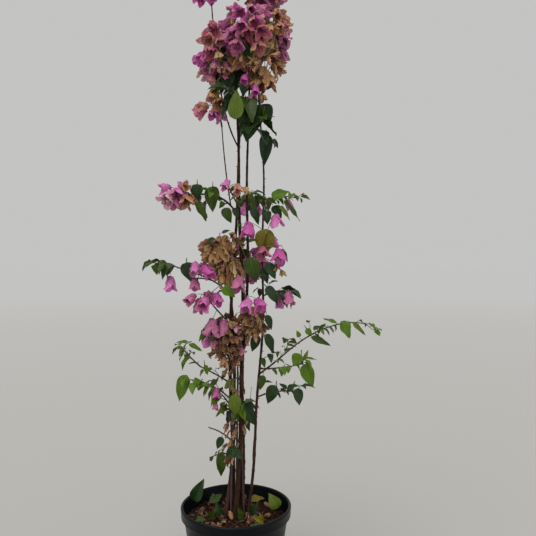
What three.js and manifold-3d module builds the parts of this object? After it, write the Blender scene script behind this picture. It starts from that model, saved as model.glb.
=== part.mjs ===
// A young bougainvillea in its nursery pot, at life size. Five slim canes stand in the potting mix, short
// boughs leave them, and every spray of leaves and head of blossom grows from one stem on a cane or bough.
// Millimetres, +Z up, the origin at the centre of the pot's flat underside. The plant is seen from -Y.
import * as THREE from "three";
import { mergeVertices } from "three/addons/utils/BufferGeometryUtils.js";
import Module from "manifold-3d";

const wasm = await Module();
wasm.setup();

// The pot: a thin tapered shell with a rolled band round its rim and drain holes in its base. The band's
// section is given as [in from the rim's outside, down from its top].
const RIM_DIAMETER = 240;
const POT_HEIGHT = 215;
const BASE_DIAMETER = 166;
const WALL = 2.4;
const BASE_THICKNESS = 3;
const RIM_BAND = 22;
const BAND_SECTION = [[1.6, RIM_BAND], [0, 19.5], [0, 3.5], [1.8, 0.6], [4.2, 0], [6.4, 1.2]];
const BAND_SHOULDER = 4; // how far under the band the wall starts inside
const RIM_OVERHANG = 7;
const FOOT_CHAMFER = 1.5;
const DRAIN_HOLES = 6;
const DRAIN_RADIUS = 6;
const DRAIN_PLACE = 0.72; // share of the base's radius
const DRAIN_SIDES = 8;
const POT_SIDES = 32;

// The potting mix: its top lies below the rim, and dips a little towards the pot's wall.
const SOIL_DROP = 25;
const SOIL_TOP = POT_HEIGHT - SOIL_DROP;
const SOIL_EDGE_DROP = 5;
const SOIL_LEVEL_RADIUS = 62;

const CLEARANCE = 0.3; // between pieces that touch
const CANE_STEP = 56; // between the rings of a cane
const BOUGH_STEP = 28;
const SPRAY_STEP = 21;
const CANE_SIDES = 6;
const CANE_TAPER = 0.8; // under 1, a cane thins faster near its foot
const FLARE = 0.45; // how much thicker a cane's foot is
const FLARE_HEIGHT = 22;
const STEM_TAPER = 0.75; // the end of a mass's stem against its start

// The canes: where each stands on the soil, where it ends, how far it bows at mid height, how it sways on the
// way, and its radius at its foot and end.
const CANES = {
  cane_main: {
    foot: [9, 10], tip: [-3, 0, 1128], bow: [10, -4], sway: 2.2, waves: 2.5, base: 6.2, end: 2.4,
  },
  cane_left: {
    foot: [-23, -9], tip: [-16, -8, 700], bow: [17, 2], sway: 1.6, waves: 1.5, base: 5.4, end: 2.2,
  },
  cane_front: {
    foot: [-2, -21], tip: [27, -22, 1112], bow: [9, -3], sway: 2.6, waves: 2.2, base: 4.8, end: 2,
  },
  cane_right: {
    foot: [25, 8], tip: [50, 2, 1122], bow: [20, 4], sway: 2.4, waves: 2.8, base: 3.4, end: 1.7,
  },
  cane_back: {
    foot: [-8, 27], tip: [30, 34, 1262], bow: [-20, 8], sway: 3, waves: 2.1, base: 5, end: 1.8,
  },
};

// The boughs: each leaves a cane at a height in millimetres, or another bough at a share of its length, by
// compass heading (0 to the right, 90 to the back, 180 to the left, 270 to the front) and rise above the
// level, and bends to its finish as it grows, the earlier the higher its early is.
const BOUGHS = {
  bough_left_high: {
    on: "cane_main", height: 800, heading: 184, rise: 98, finish: -12, reach: 152, base: 2.6, end: 1.6,
  },
  bough_side: {
    on: "bough_left_high", share: 0.45, heading: 205, rise: 80, finish: 86, reach: 172, base: 1.5,
    end: 1.1,
  },
  bough_hooked: {
    on: "cane_main", height: 992, heading: 192, turn: 68, rise: 60, finish: 81, early: 4, reach: 336,
    base: 1.7, end: 1.2,
  },
  bough_left_mid: {
    on: "cane_left", height: 670, heading: 184, rise: 52, finish: 16, early: 1.5, reach: 104, base: 1.9,
    end: 1.3,
  },
  bough_right_long: {
    on: "cane_right", height: 496, heading: -6, rise: 36, finish: 42, reach: 78, base: 2.1, end: 1.6,
  },
  bough_left_low: {
    on: "cane_left", height: 474, heading: 178, rise: 34, finish: 24, reach: 84, base: 1.8, end: 1.3,
  },
  bough_back_high: {
    on: "cane_back", height: 850, heading: 74, rise: 50, finish: 20, early: 1.5, reach: 80, base: 2.2,
    end: 1.5,
  },
  bough_back_low: {
    on: "cane_back", height: 520, heading: 112, rise: 42, finish: 18, early: 1.5, reach: 86, base: 2.2,
    end: 1.5,
  },
};

// The heads of blossom: blooms and a few leaves set round an ellipsoid, all on one stem that leaves a cane or
// a bough.
const HEADS = {
  head_top: {
    on: "cane_back", centre: [54, 4, 1340], radii: [36, 42, 50], blooms: 18, leaves: 2, dried: 0.2,
    seed: 11,
  },
  head_right: {
    on: "cane_right", centre: [80, -8, 1236], radii: [26, 34, 44], blooms: 15, leaves: 1, dried: 0.4,
    seed: 12,
  },
  head_front: {
    on: "cane_front", centre: [22, -50, 1222], radii: [30, 26, 46], blooms: 15, leaves: 1, dried: 0.1,
    seed: 13,
  },
  head_left: {
    on: "cane_main", centre: [-38, -14, 1190], radii: [34, 36, 44], blooms: 16, leaves: 1, dried: 0.25,
    seed: 14,
  },
  head_back: {
    on: "cane_back", height: 1170, centre: [6, 68, 1236], radii: [44, 26, 50], blooms: 15, leaves: 2,
    dried: 0.25, seed: 15,
  },
  head_dried_high: {
    on: "cane_right", height: 1080, centre: [64, -34, 1144], radii: [22, 20, 24], blooms: 9, leaves: 0,
    dried: 1, seed: 16,
  },
  head_hooked: {
    on: "bough_hooked", centre: [-58, -56, 1342], radii: [12, 12, 26], blooms: 5, leaves: 0, dried: 0,
    seed: 17,
  },
  head_left_drop: {
    on: "bough_side", centre: [-56, -20, 1086], radii: [14, 16, 14], blooms: 5, leaves: 0, dried: 0.35,
    seed: 18,
  },
  head_left_high: {
    on: "bough_left_high", centre: [-128, -12, 888], radii: [22, 22, 18], blooms: 11, leaves: 1,
    dried: 0.35, seed: 19,
  },
  head_high_front: {
    on: "cane_main", height: 862, centre: [-14, -38, 898], radii: [20, 8, 8], blooms: 4, leaves: 0,
    dried: 0.4, seed: 24,
  },
  head_right_mid: {
    on: "cane_right", height: 744, centre: [66, -26, 792], radii: [28, 12, 34], blooms: 4, leaves: 2,
    dried: 0, seed: 25,
  },
  head_dried_mid: {
    on: "cane_left", centre: [-26, -22, 752], radii: [30, 26, 36], blooms: 17, leaves: 0, dried: 1,
    seed: 20,
  },
  head_left_mid: {
    on: "bough_left_mid", share: 0.5, centre: [-92, -26, 704], radii: [26, 10, 10], blooms: 3,
    leaves: 0, dried: 0, seed: 28,
  },
  head_under_crown: {
    on: "cane_front", height: 1046, centre: [38, -46, 1112], radii: [14, 10, 14], blooms: 3, leaves: 0,
    dried: 0.3, seed: 29,
  },
  head_pink_mid: {
    on: "cane_left", height: 600, centre: [-66, -42, 668], radii: [30, 16, 16], blooms: 7, leaves: 1,
    dried: 0, seed: 21,
  },
  head_front_mid: {
    on: "cane_front", height: 640, centre: [18, -52, 688], radii: [18, 10, 28], blooms: 3, leaves: 3,
    dried: 0, seed: 26,
  },
  head_dried_low: {
    on: "cane_left", height: 496, centre: [-16, -42, 572], radii: [22, 14, 48], blooms: 14, leaves: 1,
    dried: 0.9, seed: 22,
  },
  head_dried_right: {
    on: "cane_front", height: 552, centre: [48, -38, 598], radii: [14, 10, 24], blooms: 5, leaves: 3,
    dried: 1, seed: 23,
  },
  head_back_mid: {
    on: "cane_back", height: 690, centre: [22, 76, 742], radii: [36, 20, 32], blooms: 9, leaves: 3,
    dried: 0.3, seed: 27,
  },
};

// The sprays: leaves set round one arching stem, with blooms hung near its end.
const SPRAYS = {
  spray_under_crown: {
    on: "cane_front", height: 1070, heading: 236, rise: 52, finish: 0, reach: 52, leaves: 4,
    leafLength: 62, blooms: 0, seed: 31,
  },
  spray_right_crown: {
    on: "cane_front", height: 1004, heading: 312, rise: 66, finish: 10, reach: 56, leaves: 5,
    leafLength: 60, blooms: 0, seed: 32,
  },
  spray_right_crown_low: {
    on: "cane_right", height: 1000, heading: -30, rise: 50, finish: -40, reach: 34, leaves: 3,
    leafLength: 52, blooms: 0, seed: 51,
  },
  spray_left_high: {
    on: "bough_left_high", share: 0.72, heading: 196, rise: -30, finish: -50, reach: 30, leaves: 3,
    leafLength: 46, blooms: 0, seed: 33,
  },
  spray_right_high: {
    on: "cane_right", height: 850, heading: -14, rise: 66, finish: -22, reach: 90, leaves: 9,
    leafLength: 46, blooms: 1, seed: 34,
  },
  spray_right_mid: {
    on: "cane_right", height: 668, heading: -16, rise: 34, finish: -16, reach: 62, leaves: 5,
    leafLength: 48, blooms: 2, seed: 37,
  },
  spray_left_mid: {
    on: "bough_left_mid", heading: 184, rise: 24, finish: 4, reach: 80, leaves: 8, leafLength: 42,
    blooms: 1, seed: 38,
  },
  spray_right_long: {
    on: "bough_right_long", heading: -6, rise: 42, finish: -30, early: 0.45, reach: 192, leaves: 12,
    leafLength: 42, blooms: 0, seed: 39,
  },
  spray_right_level: {
    on: "cane_right", height: 508, heading: -26, rise: 4, finish: 16, reach: 104, leaves: 6,
    leafLength: 50, blooms: 0, seed: 40,
  },
  spray_right_low: {
    on: "cane_right", height: 446, heading: -10, rise: 26, finish: -6, reach: 88, leaves: 6,
    leafLength: 48, blooms: 0, seed: 41,
  },
  spray_left_upper: {
    on: "bough_left_low", heading: 178, rise: 40, finish: 50, reach: 56, leaves: 7, leafLength: 44,
    blooms: 0, seed: 42,
  },
  spray_left_lower: {
    on: "cane_left", height: 436, heading: 186, rise: 52, finish: 4, reach: 118, leaves: 7,
    leafLength: 56, blooms: 0, seed: 43,
  },
  spray_left_centre: {
    on: "cane_left", height: 410, heading: 216, rise: 72, finish: 30, reach: 88, leaves: 8,
    leafLength: 46, blooms: 2, seed: 44,
  },
  spray_front_low: {
    on: "cane_front", height: 414, heading: 266, rise: 64, finish: -10, reach: 42, leaves: 5,
    leafLength: 54, blooms: 0, seed: 45,
  },
  spray_foot: {
    on: "cane_left", height: 318, heading: 206, rise: 54, finish: -30, reach: 50, leaves: 4,
    leafLength: 44, blooms: 0, seed: 46,
  },
  spray_back_high: {
    on: "bough_back_high", heading: 74, rise: 20, finish: -6, reach: 84, leaves: 8, leafLength: 50,
    blooms: 2, seed: 47,
  },
  spray_back_low: {
    on: "bough_back_low", heading: 112, rise: 18, finish: 0, reach: 96, leaves: 9, leafLength: 50,
    blooms: 2, seed: 48,
  },
  spray_back_foot: {
    on: "cane_back", height: 372, heading: 66, rise: 50, finish: 6, reach: 84, leaves: 6,
    leafLength: 52, blooms: 0, seed: 50,
  },
  twig_bare_low: {
    on: "cane_left", height: 352, heading: 184, rise: 48, finish: 16, reach: 64, leaves: 0,
    leafLength: 40, blooms: 0, seed: 49,
  },
};

// A leaf on its stalk: its rings lie at these shares of the blade, with these half widths as shares of its
// length, the depth of its keel, how far its tip bends down, and the length and lift of its stalk.
const LEAF = { along: [0.26, 0.62, 1], half: [0.31, 0.24, 0], keel: 1.1, arch: 0.16, stalk: 8, lift: 0.35 };
const STALK_RADIUS = 1;
const STALK_TAPER = 0.85;

// A bloom: three pointed bracts joined at their roots in one star, which opens away from its stalk. Three of
// the points of its outline make a bract. A dried bloom is smaller and more closed, and hangs.
const BRACT = { length: 37, half: 0.37, shoulder: 0.5, thickness: 3 };
const OUTLINE_POINTS = 9;
const FRESH = { flare: 47, droop: 0.55, size: 1 };
const DRIED = { flare: 36, droop: 0.9, size: 0.88 };

// A head: how far along its stem the twigs start, how deep in its ellipsoid the blooms may lie, how the stem
// bends and how high in the head it ends, how many places are tried for each bloom or leaf, the step from one
// place to the next as a share of their count, and its leaves.
const HEAD = { stem: 2, steps: 5, twigs: [0.4, 0.95], depth: [0.62, 1], bend: 0.45, crest: 0.35, tries: 5 };
const PLACE_STEP = 0.382;
const HEAD_LEAF = { shortest: 48, longest: 60, hang: 1.1 };

// A spray: the bare share of its stem, its leaves' sizes from first to last, how they hang, how their stalks
// leave the stem, the first turn and the further ones that are tried for a leaf, and how its blooms hang.
const SPRAY = { stem: 1.9, bare: 0.3, sizes: [1.15, 0.7], uneven: [0.8, 1.15], hang: [0.5, 1.2] };
const SPRAY_STALK = { out: 0.8, forward: 0.6, level: 0.3 };
const FIRST_TURN = 1;
const SPRAY_TURNS = [0, 2.1, 4.2];
const SPRAY_BLOOM = { span: 0.5, out: 16, drop: 12, lift: 9, lean: 0.5 };

const TONES = {
  pot: { color: 0x1a1c20, roughness: 0.5, metalness: 0 },
  soil: { color: 0x2c211b, roughness: 0.95, metalness: 0 },
  bark: { color: 0x54402f, roughness: 0.85, metalness: 0 },
  leaf: { color: 0x4a6b16, roughness: 0.5, metalness: 0 },
  blossom: { color: 0xa85088, roughness: 0.7, metalness: 0 },
  dried: { color: 0x94714a, roughness: 0.85, metalness: 0 },
};

const UP = new THREE.Vector3(0, 0, 1);
const GOLDEN_ANGLE = Math.PI * (3 - Math.sqrt(5));
const FULL_TURN = 2 * Math.PI;
const radians = THREE.MathUtils.degToRad;
const mix = (a, b, share) => a + (b - a) * share;
const taper = (base, end, points) => points.map((_, i) => mix(base, end, i / (points.length - 1)));

// The same run of numbers between 0 and 1 for the same seed.
function seeded(seed) {
  let state = seed * 7919 + 17;
  return () => {
    state = (state * 48271) % 2147483647;
    return state / 2147483647;
  };
}

// A unit vector by compass heading and rise above the level, in degrees.
function pointing(heading, rise) {
  const [turn, climb] = [radians(heading), radians(rise)];
  const level = Math.cos(climb);
  return new THREE.Vector3(level * Math.cos(turn), level * Math.sin(turn), Math.sin(climb));
}

// A level unit vector square to the one given.
function sideOf(direction) {
  const side = new THREE.Vector3().crossVectors(direction, UP);
  return side.length() > 0.05 ? side.normalize() : new THREE.Vector3(1, 0, 0);
}

// The point and the direction at a share of the way along a run of points.
function along(points, share) {
  const at = share * (points.length - 1);
  const i = Math.min(Math.floor(at), points.length - 2);
  const direction = points[i + 1].clone().sub(points[i]).normalize();
  return { point: points[i].clone().lerp(points[i + 1], at - i), direction };
}

function toSolid(geometry) {
  geometry.deleteAttribute("normal");
  geometry.deleteAttribute("uv");
  const merged = mergeVertices(geometry, 1e-4);
  return new wasm.Manifold(
    new wasm.Mesh({
      numProp: 3,
      vertProperties: new Float32Array(merged.attributes.position.array),
      triVerts: new Uint32Array(merged.index.array),
    }),
  );
}

function toGeometry(solid) {
  const { numProp, vertProperties, triVerts } = solid.getMesh();
  const positions = new Float32Array((vertProperties.length / numProp) * 3);
  for (let i = 0; i < positions.length / 3; i++) {
    positions.set(vertProperties.subarray(i * numProp, i * numProp + 3), i * 3);
  }
  const geometry = new THREE.BufferGeometry();
  geometry.setAttribute("position", new THREE.BufferAttribute(positions, 3));
  geometry.setIndex(new THREE.BufferAttribute(new Uint32Array(triVerts), 1));
  geometry.computeVertexNormals();
  return geometry;
}

const boxed = (solid) => ({ solid, box: solid.boundingBox() });
const largestBody = (solid) => solid.decompose().reduce((a, b) => (b.volume() > a.volume() ? b : a));

// Whether a solid runs into any of the others.
function meets(solid, others) {
  const box = solid.boundingBox();
  return others.some((other) => {
    const apart = [0, 1, 2].some((k) => box.min[k] > other.box.max[k] || box.max[k] < other.box.min[k]);
    return !apart && solid.intersect(other.solid).volume() > 0;
  });
}

// A tapering rod: a cylinder whose rings are laid along the points, or a cone where it is pointed. A radius
// is one number, or a pair where the rod is flat. first is the way its first ring faces, side the way its
// sections lie, and grow thickens and lengthens it on all sides.
function rod(points, radii, sides, { grow = 0, first, side, pointed = false } = {}) {
  const last = points.length - 1;
  const tangents = points.map((_, i) => {
    return points[Math.min(i + 1, last)].clone().sub(points[Math.max(i - 1, 0)]).normalize();
  });
  if (first) tangents[0] = first;
  const across = [side ?? sideOf(tangents[0])];
  for (let i = 1; i <= last; i++) {
    const previous = across[i - 1];
    across.push(previous.clone().addScaledVector(tangents[i], -previous.dot(tangents[i])).normalize());
  }
  const geometry = new THREE.CylinderGeometry(pointed ? 0 : 1, 1, last, sides, last);
  const place = geometry.attributes.position;
  for (let v = 0; v < place.count; v++) {
    const i = Math.round(place.getY(v) + last / 2);
    const level = Math.hypot(place.getX(v), place.getZ(v)) || 1;
    const [wide, deep] = Array.isArray(radii[i]) ? radii[i] : [radii[i], radii[i]];
    const other = new THREE.Vector3().crossVectors(across[i], tangents[i]);
    const point = points[i].clone();
    point.addScaledVector(across[i], (place.getX(v) / level) * (wide + grow));
    point.addScaledVector(other, (place.getZ(v) / level) * (deep + grow));
    if (i === 0) point.addScaledVector(tangents[0], -grow);
    if (i === last) point.addScaledVector(tangents[last], grow);
    place.setXYZ(v, point.x, point.y, point.z);
  }
  return toSolid(geometry);
}

// A leaf on its stalk, as one rod of three sides that widens into the blade, with the midrib for its keel.
function leafSolid({ root, knee, direction, normal, length }) {
  const points = [root, knee];
  const radii = [STALK_RADIUS, STALK_RADIUS * STALK_TAPER];
  LEAF.along.forEach((share, i) => {
    const point = knee.clone().addScaledVector(direction, share * length);
    points.push(point.addScaledVector(normal, -LEAF.arch * length * share * share));
    radii.push([(LEAF.half[i] * length) / Math.cos(Math.PI / 6), LEAF.keel]);
  });
  const side = new THREE.Vector3().crossVectors(normal, direction);
  return rod(points, radii, 3, { side, pointed: true });
}

// A bloom as a flattened sphere of two rings of faces, its outline drawn out to the bracts' tips and
// shoulders.
function bloomSolid({ centre, axis, spin, kind }) {
  const across = sideOf(axis).applyAxisAngle(axis, spin);
  const other = new THREE.Vector3().crossVectors(across, axis);
  const length = BRACT.length * kind.size;
  const outward = length * Math.sin(radians(kind.flare));
  const ahead = length * Math.cos(radians(kind.flare));
  const geometry = new THREE.SphereGeometry(1, OUTLINE_POINTS, 2);
  const place = geometry.attributes.position;
  for (let v = 0; v < place.count; v++) {
    const [x, y, z] = [place.getX(v), place.getY(v), place.getZ(v)];
    const point = centre.clone();
    if (Math.abs(y) > 0.5) {
      point.addScaledVector(axis, y > 0 ? 1 : 1 - BRACT.thickness);
    } else {
      const lap = Math.atan2(z, -x) / FULL_TURN + 1;
      const k = Math.round(lap * OUTLINE_POINTS) % OUTLINE_POINTS;
      const bract = Math.round(k / 3);
      const share = k % 3 === 0 ? 1 : BRACT.shoulder;
      const sideways = (k - 3 * bract) * BRACT.half * length;
      const turn = (bract * FULL_TURN) / 3;
      point.addScaledVector(across, sideways * Math.sin(turn) - outward * share * Math.cos(turn));
      point.addScaledVector(other, sideways * Math.cos(turn) + outward * share * Math.sin(turn));
      point.addScaledVector(axis, ahead * share);
    }
    place.setXYZ(v, point.x, point.y, point.z);
  }
  return toSolid(geometry);
}

// The points of a cane, from its foot on the soil to its tip.
function canePoints({ foot, tip, bow, sway, waves }) {
  const low = new THREE.Vector3(foot[0], foot[1], SOIL_TOP + CLEARANCE);
  const high = new THREE.Vector3(...tip);
  const steps = Math.round(low.distanceTo(high) / CANE_STEP);
  return Array.from({ length: steps + 1 }, (_, i) => {
    const share = i / steps;
    const bulge = 4 * share * (1 - share);
    const wave = FULL_TURN * waves * share;
    const point = low.clone().lerp(high, share);
    point.x += bow[0] * bulge + sway * Math.sin(wave);
    point.y += bow[1] * bulge + sway * (Math.cos(wave) - 1) * bulge;
    return point;
  });
}

// The radius of a cane at each of its points, with the flare at its foot.
function caneRadii({ base, end }, points) {
  return points.map((point, i) => {
    const flare = 1 + FLARE * Math.exp(-(point.z - SOIL_TOP) / FLARE_HEIGHT);
    return mix(base, end, (i / (points.length - 1)) ** CANE_TAPER) * flare;
  });
}

// The points of a shoot that starts on a limb and bends from its first rise to its finish.
function shootPoints(start, { heading, turn = 0, rise, finish, early = 1, reach }, step) {
  const steps = Math.max(2, Math.round(reach / step));
  const points = [start.clone()];
  for (let i = 0; i < steps; i++) {
    const share = (i + 0.5) / steps;
    const slope = mix(finish, rise, (1 - share) ** early);
    const stride = pointing(heading + turn * share, slope).multiplyScalar(reach / steps);
    points.push(points[i].clone().add(stride));
  }
  return points;
}

// Where a stem leaves its limb: on the limb's axis at a height, at a share of its length, or at its very tip.
function rootOn(limb, { height, share = 1 }) {
  if (height === undefined) return along(limb.points, share).point;
  const i = limb.points.findIndex((point) => point.z > height);
  const [low, high] = [limb.points[i - 1], limb.points[i]];
  return low.clone().lerp(high, (height - low.z) / (high.z - low.z));
}

// A leaf's place: its stalk leaves the stem outwards, its blade hangs, with its upper face to the light.
function leafOn(root, out, length, hang) {
  const knee = root.clone().addScaledVector(out, LEAF.stalk).addScaledVector(UP, LEAF.stalk * LEAF.lift);
  const direction = out.clone().addScaledVector(UP, -hang).normalize();
  const normal = out.clone().multiplyScalar(hang).add(UP);
  normal.addScaledVector(direction, -normal.dot(direction)).normalize();
  return { root: root.clone(), knee, direction, normal, length };
}

// The stem of a head, and the places for its leaves and blooms by turns of the golden angle from its top to
// its foot, taken in an order that spreads them.
function growHead(root, start, { centre, radii, blooms, leaves, dried, seed }) {
  const random = seeded(seed);
  const middle = new THREE.Vector3(...centre);
  const crest = middle.clone().addScaledVector(UP, radii[2] * HEAD.crest);
  const bend = root.clone().addScaledVector(start, root.distanceTo(middle) * HEAD.bend);
  const stem = new THREE.QuadraticBezierCurve3(root, bend, crest).getPoints(HEAD.steps);
  const count = HEAD.tries * (blooms + leaves) + 1;
  const stride = Math.round(count * PLACE_STEP);
  const parts = [];
  for (let n = 0; n < count; n++) {
    const i = (n * stride) % count;
    const height = 1 - (2 * (i + 0.5)) / count;
    const ring = Math.sqrt(1 - height * height);
    const angle = i * GOLDEN_ANGLE + seed;
    const out = new THREE.Vector3(ring * Math.cos(angle), ring * Math.sin(angle), height);
    const depth = mix(...HEAD.depth, random());
    const kind = random() < dried ? DRIED : FRESH;
    const turn = random();
    const place = out.clone().multiply(new THREE.Vector3(...radii)).multiplyScalar(depth).add(middle);
    const twig = [along(stem, mix(...HEAD.twigs, 0.5 + 0.5 * height)).point, place];
    if (n < HEAD.tries * leaves) {
      const level = out.clone().setZ(0).normalize();
      const length = mix(HEAD_LEAF.shortest, HEAD_LEAF.longest, turn);
      parts.push({ twig, leaf: leafOn(place, level, length, HEAD_LEAF.hang) });
    } else {
      const axis = out.clone().addScaledVector(UP, -kind.droop).normalize();
      parts.push({ twig, bloom: { centre: place, axis, spin: turn * FULL_TURN, kind } });
    }
  }
  return { stem, parts };
}

// The stem, leaves and blooms of a spray, the leaves set by turns of the golden angle round its stem.
function growSpray(root, spray) {
  const random = seeded(spray.seed);
  const stem = shootPoints(root, spray, SPRAY_STEP);
  const parts = [];
  for (let i = 0; i < spray.leaves; i++) {
    const share = mix(SPRAY.bare, 1, (i + 1) / spray.leaves);
    const { point, direction } = along(stem, share);
    const turn = i * GOLDEN_ANGLE + FIRST_TURN + random();
    const hang = mix(...SPRAY.hang, random());
    const length = spray.leafLength * mix(...SPRAY.sizes, share) * mix(...SPRAY.uneven, random());
    for (const further of SPRAY_TURNS) {
      const out = sideOf(direction).applyAxisAngle(direction, turn + further);
      out.multiplyScalar(SPRAY_STALK.out).addScaledVector(direction, SPRAY_STALK.forward);
      out.setZ(out.z * SPRAY_STALK.level).normalize();
      parts.push({ slot: i, leaf: leafOn(point, out, length, hang) });
    }
  }
  for (let i = 0; i < spray.blooms; i++) {
    const { point } = along(stem, 1 - (SPRAY_BLOOM.span * i) / spray.blooms);
    const spin = random() * FULL_TURN;
    const out = pointing(random() * 360, 0);
    const centre = point.clone().addScaledVector(out, SPRAY_BLOOM.out);
    centre.addScaledVector(UP, -SPRAY_BLOOM.drop);
    const axis = out.multiplyScalar(SPRAY_BLOOM.lean).sub(UP).normalize();
    const knee = point.clone().lerp(centre, 0.5).addScaledVector(UP, SPRAY_BLOOM.lift);
    const twig = new THREE.QuadraticBezierCurve3(point, knee, centre).getPoints(2);
    parts.push({ twig, bloom: { centre, axis, spin, kind: FRESH } });
  }
  return { stem, parts };
}

const object = new THREE.Group();

function addNode(name, solid, tone) {
  const mesh = new THREE.Mesh(toGeometry(solid), new THREE.MeshStandardMaterial(TONES[tone]));
  mesh.name = name;
  object.add(mesh);
}

// A solid turned round the vertical axis from its profile of [radius, height] points.
function turned(profile) {
  const points = profile.map(([radius, height]) => new THREE.Vector2(radius, height));
  return toSolid(new THREE.LatheGeometry(points, POT_SIDES).rotateX(Math.PI / 2));
}

const rimRadius = RIM_DIAMETER / 2;
const wallTop = rimRadius - RIM_OVERHANG;
const wallFoot = BASE_DIAMETER / 2;
const bandFoot = POT_HEIGHT - RIM_BAND;
const innerAt = (height) => mix(wallFoot, wallTop, Math.min(height / bandFoot, 1)) - WALL;

function makePot() {
  let pot = turned([
    [0, 0],
    [wallFoot - FOOT_CHAMFER, 0],
    [wallFoot, FOOT_CHAMFER],
    [wallTop, bandFoot],
    ...BAND_SECTION.map(([inwards, down]) => [rimRadius - inwards, POT_HEIGHT - down]),
    [innerAt(bandFoot), bandFoot - BAND_SHOULDER],
    [innerAt(BASE_THICKNESS), BASE_THICKNESS],
    [0, BASE_THICKNESS],
  ]);
  for (let i = 0; i < DRAIN_HOLES; i++) {
    const depth = BASE_THICKNESS * 4;
    const hole = new THREE.CylinderGeometry(DRAIN_RADIUS, DRAIN_RADIUS, depth, DRAIN_SIDES);
    const place = pointing((360 * i) / DRAIN_HOLES, 0).multiplyScalar(DRAIN_PLACE * wallFoot);
    hole.rotateX(Math.PI / 2).translate(place.x, place.y, 0);
    pot = pot.subtract(toSolid(hole));
  }
  return pot;
}

function makeSoil() {
  const floor = BASE_THICKNESS + CLEARANCE;
  const edge = SOIL_TOP - SOIL_EDGE_DROP;
  return turned([
    [0, floor],
    [innerAt(floor) - CLEARANCE, floor],
    [innerAt(edge) - CLEARANCE, edge],
    [SOIL_LEVEL_RADIUS, SOIL_TOP],
    [0, SOIL_TOP],
  ]);
}

addNode("pot", makePot(), "pot");
addNode("potting_mix", makeSoil(), "soil");

// Canes and boughs keep clear of each other: each is cut back from the room of those placed before it.
const limbs = {};
function addLimb(name, points, radii, options) {
  let solid = rod(points, radii, CANE_SIDES, options);
  for (const other of Object.values(limbs)) solid = solid.subtract(other.room.solid);
  limbs[name] = { points, room: boxed(rod(points, radii, CANE_SIDES, { ...options, grow: CLEARANCE })) };
  addNode(name, largestBody(solid), "bark");
}

for (const [name, cane] of Object.entries(CANES)) {
  const points = canePoints(cane);
  addLimb(name, points, caneRadii(cane, points), { first: UP });
}
for (const [name, bough] of Object.entries(BOUGHS)) {
  const points = shootPoints(rootOn(limbs[bough.on], bough), bough, BOUGH_STEP);
  addLimb(name, points, taper(bough.base, bough.end, points));
}

// Each mass starts as its stem, cut clear of the limbs. Those of all the masses are placed first.
const limbRooms = Object.values(limbs).map((limb) => limb.room);
const masses = {};

function addStem(name, { stem, parts }, radius) {
  let solid = rod(stem, taper(radius, radius * STEM_TAPER, stem), 4);
  for (const room of limbRooms) solid = solid.subtract(room.solid);
  masses[name] = { room: boxed(largestBody(solid)), parts };
}

for (const [name, head] of Object.entries(HEADS)) {
  const limb = limbs[head.on];
  const root = rootOn(limb, head);
  const inward = new THREE.Vector3(...head.centre).sub(root).normalize();
  const start = head.height === undefined ? along(limb.points, 1).direction : inward;
  addStem(name, growHead(root, start, head), HEAD.stem);
}
for (const [name, spray] of Object.entries(SPRAYS)) {
  addStem(name, growSpray(rootOn(limbs[spray.on], spray), spray), SPRAY.stem);
}

// A leaf or bloom that would run into a limb, another mass or its own neighbours is left off, and the next of
// its places is tried. What fits is joined to its mass's stem.
for (const [name, wanted] of Object.entries({ ...HEADS, ...SPRAYS })) {
  const mass = masses[name];
  const others = Object.values(masses).filter((other) => other !== mass).map((other) => other.room);
  const placed = [];
  const count = { blooms: 0, leaves: 0 };
  const filled = new Set();
  for (const { slot, twig, leaf, bloom } of mass.parts) {
    const kind = bloom ? "blooms" : "leaves";
    if (count[kind] === wanted[kind] || filled.has(slot)) continue;
    let part = leaf ? leafSolid(leaf) : bloomSolid(bloom);
    if (twig) part = part.add(rod(twig, taper(STALK_RADIUS, STALK_RADIUS * STALK_TAPER, twig), 3));
    if (meets(part, limbRooms) || meets(part, others) || meets(part, placed)) continue;
    placed.push(boxed(part));
    count[kind]++;
    if (slot !== undefined) filled.add(slot);
  }
  const joined = placed.reduce((solid, part) => solid.add(part.solid), mass.room.solid);
  mass.room = boxed(largestBody(joined));
  const green = wanted.leaves > 0 ? "leaf" : "bark";
  const flowery = wanted.dried > 0.5 ? "dried" : "blossom";
  addNode(name, mass.room.solid, wanted.centre ? flowery : green);
}

export default object;
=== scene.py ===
"""A young bougainvillea in its nursery pot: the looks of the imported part, grown over its solids.

The canes, boughs, heads of blossom and leafy sprays grow here by the rule that shaped the solids, from the same
sizes in millimetres, and are carried on to twigs, leaves, papery bracts and small tube flowers."""

import itertools
import math

import bpy
import numpy as np
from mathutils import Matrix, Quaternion, Vector, noise


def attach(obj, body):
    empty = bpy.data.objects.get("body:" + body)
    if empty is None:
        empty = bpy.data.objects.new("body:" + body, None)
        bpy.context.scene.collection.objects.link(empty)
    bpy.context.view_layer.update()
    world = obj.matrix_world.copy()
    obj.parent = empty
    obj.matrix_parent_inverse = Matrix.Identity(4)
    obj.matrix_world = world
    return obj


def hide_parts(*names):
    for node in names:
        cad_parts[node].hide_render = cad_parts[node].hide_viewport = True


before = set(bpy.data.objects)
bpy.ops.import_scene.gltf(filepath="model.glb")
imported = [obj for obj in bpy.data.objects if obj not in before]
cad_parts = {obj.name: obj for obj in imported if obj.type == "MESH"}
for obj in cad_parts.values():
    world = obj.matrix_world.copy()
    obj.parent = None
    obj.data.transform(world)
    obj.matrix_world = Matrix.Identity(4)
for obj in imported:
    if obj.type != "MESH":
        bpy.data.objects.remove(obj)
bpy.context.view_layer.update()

MM = 0.001
UP = Vector((0, 0, 1))
FULL_TURN = 2 * math.pi
GOLDEN_ANGLE = math.pi * (3 - math.sqrt(5))


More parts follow.
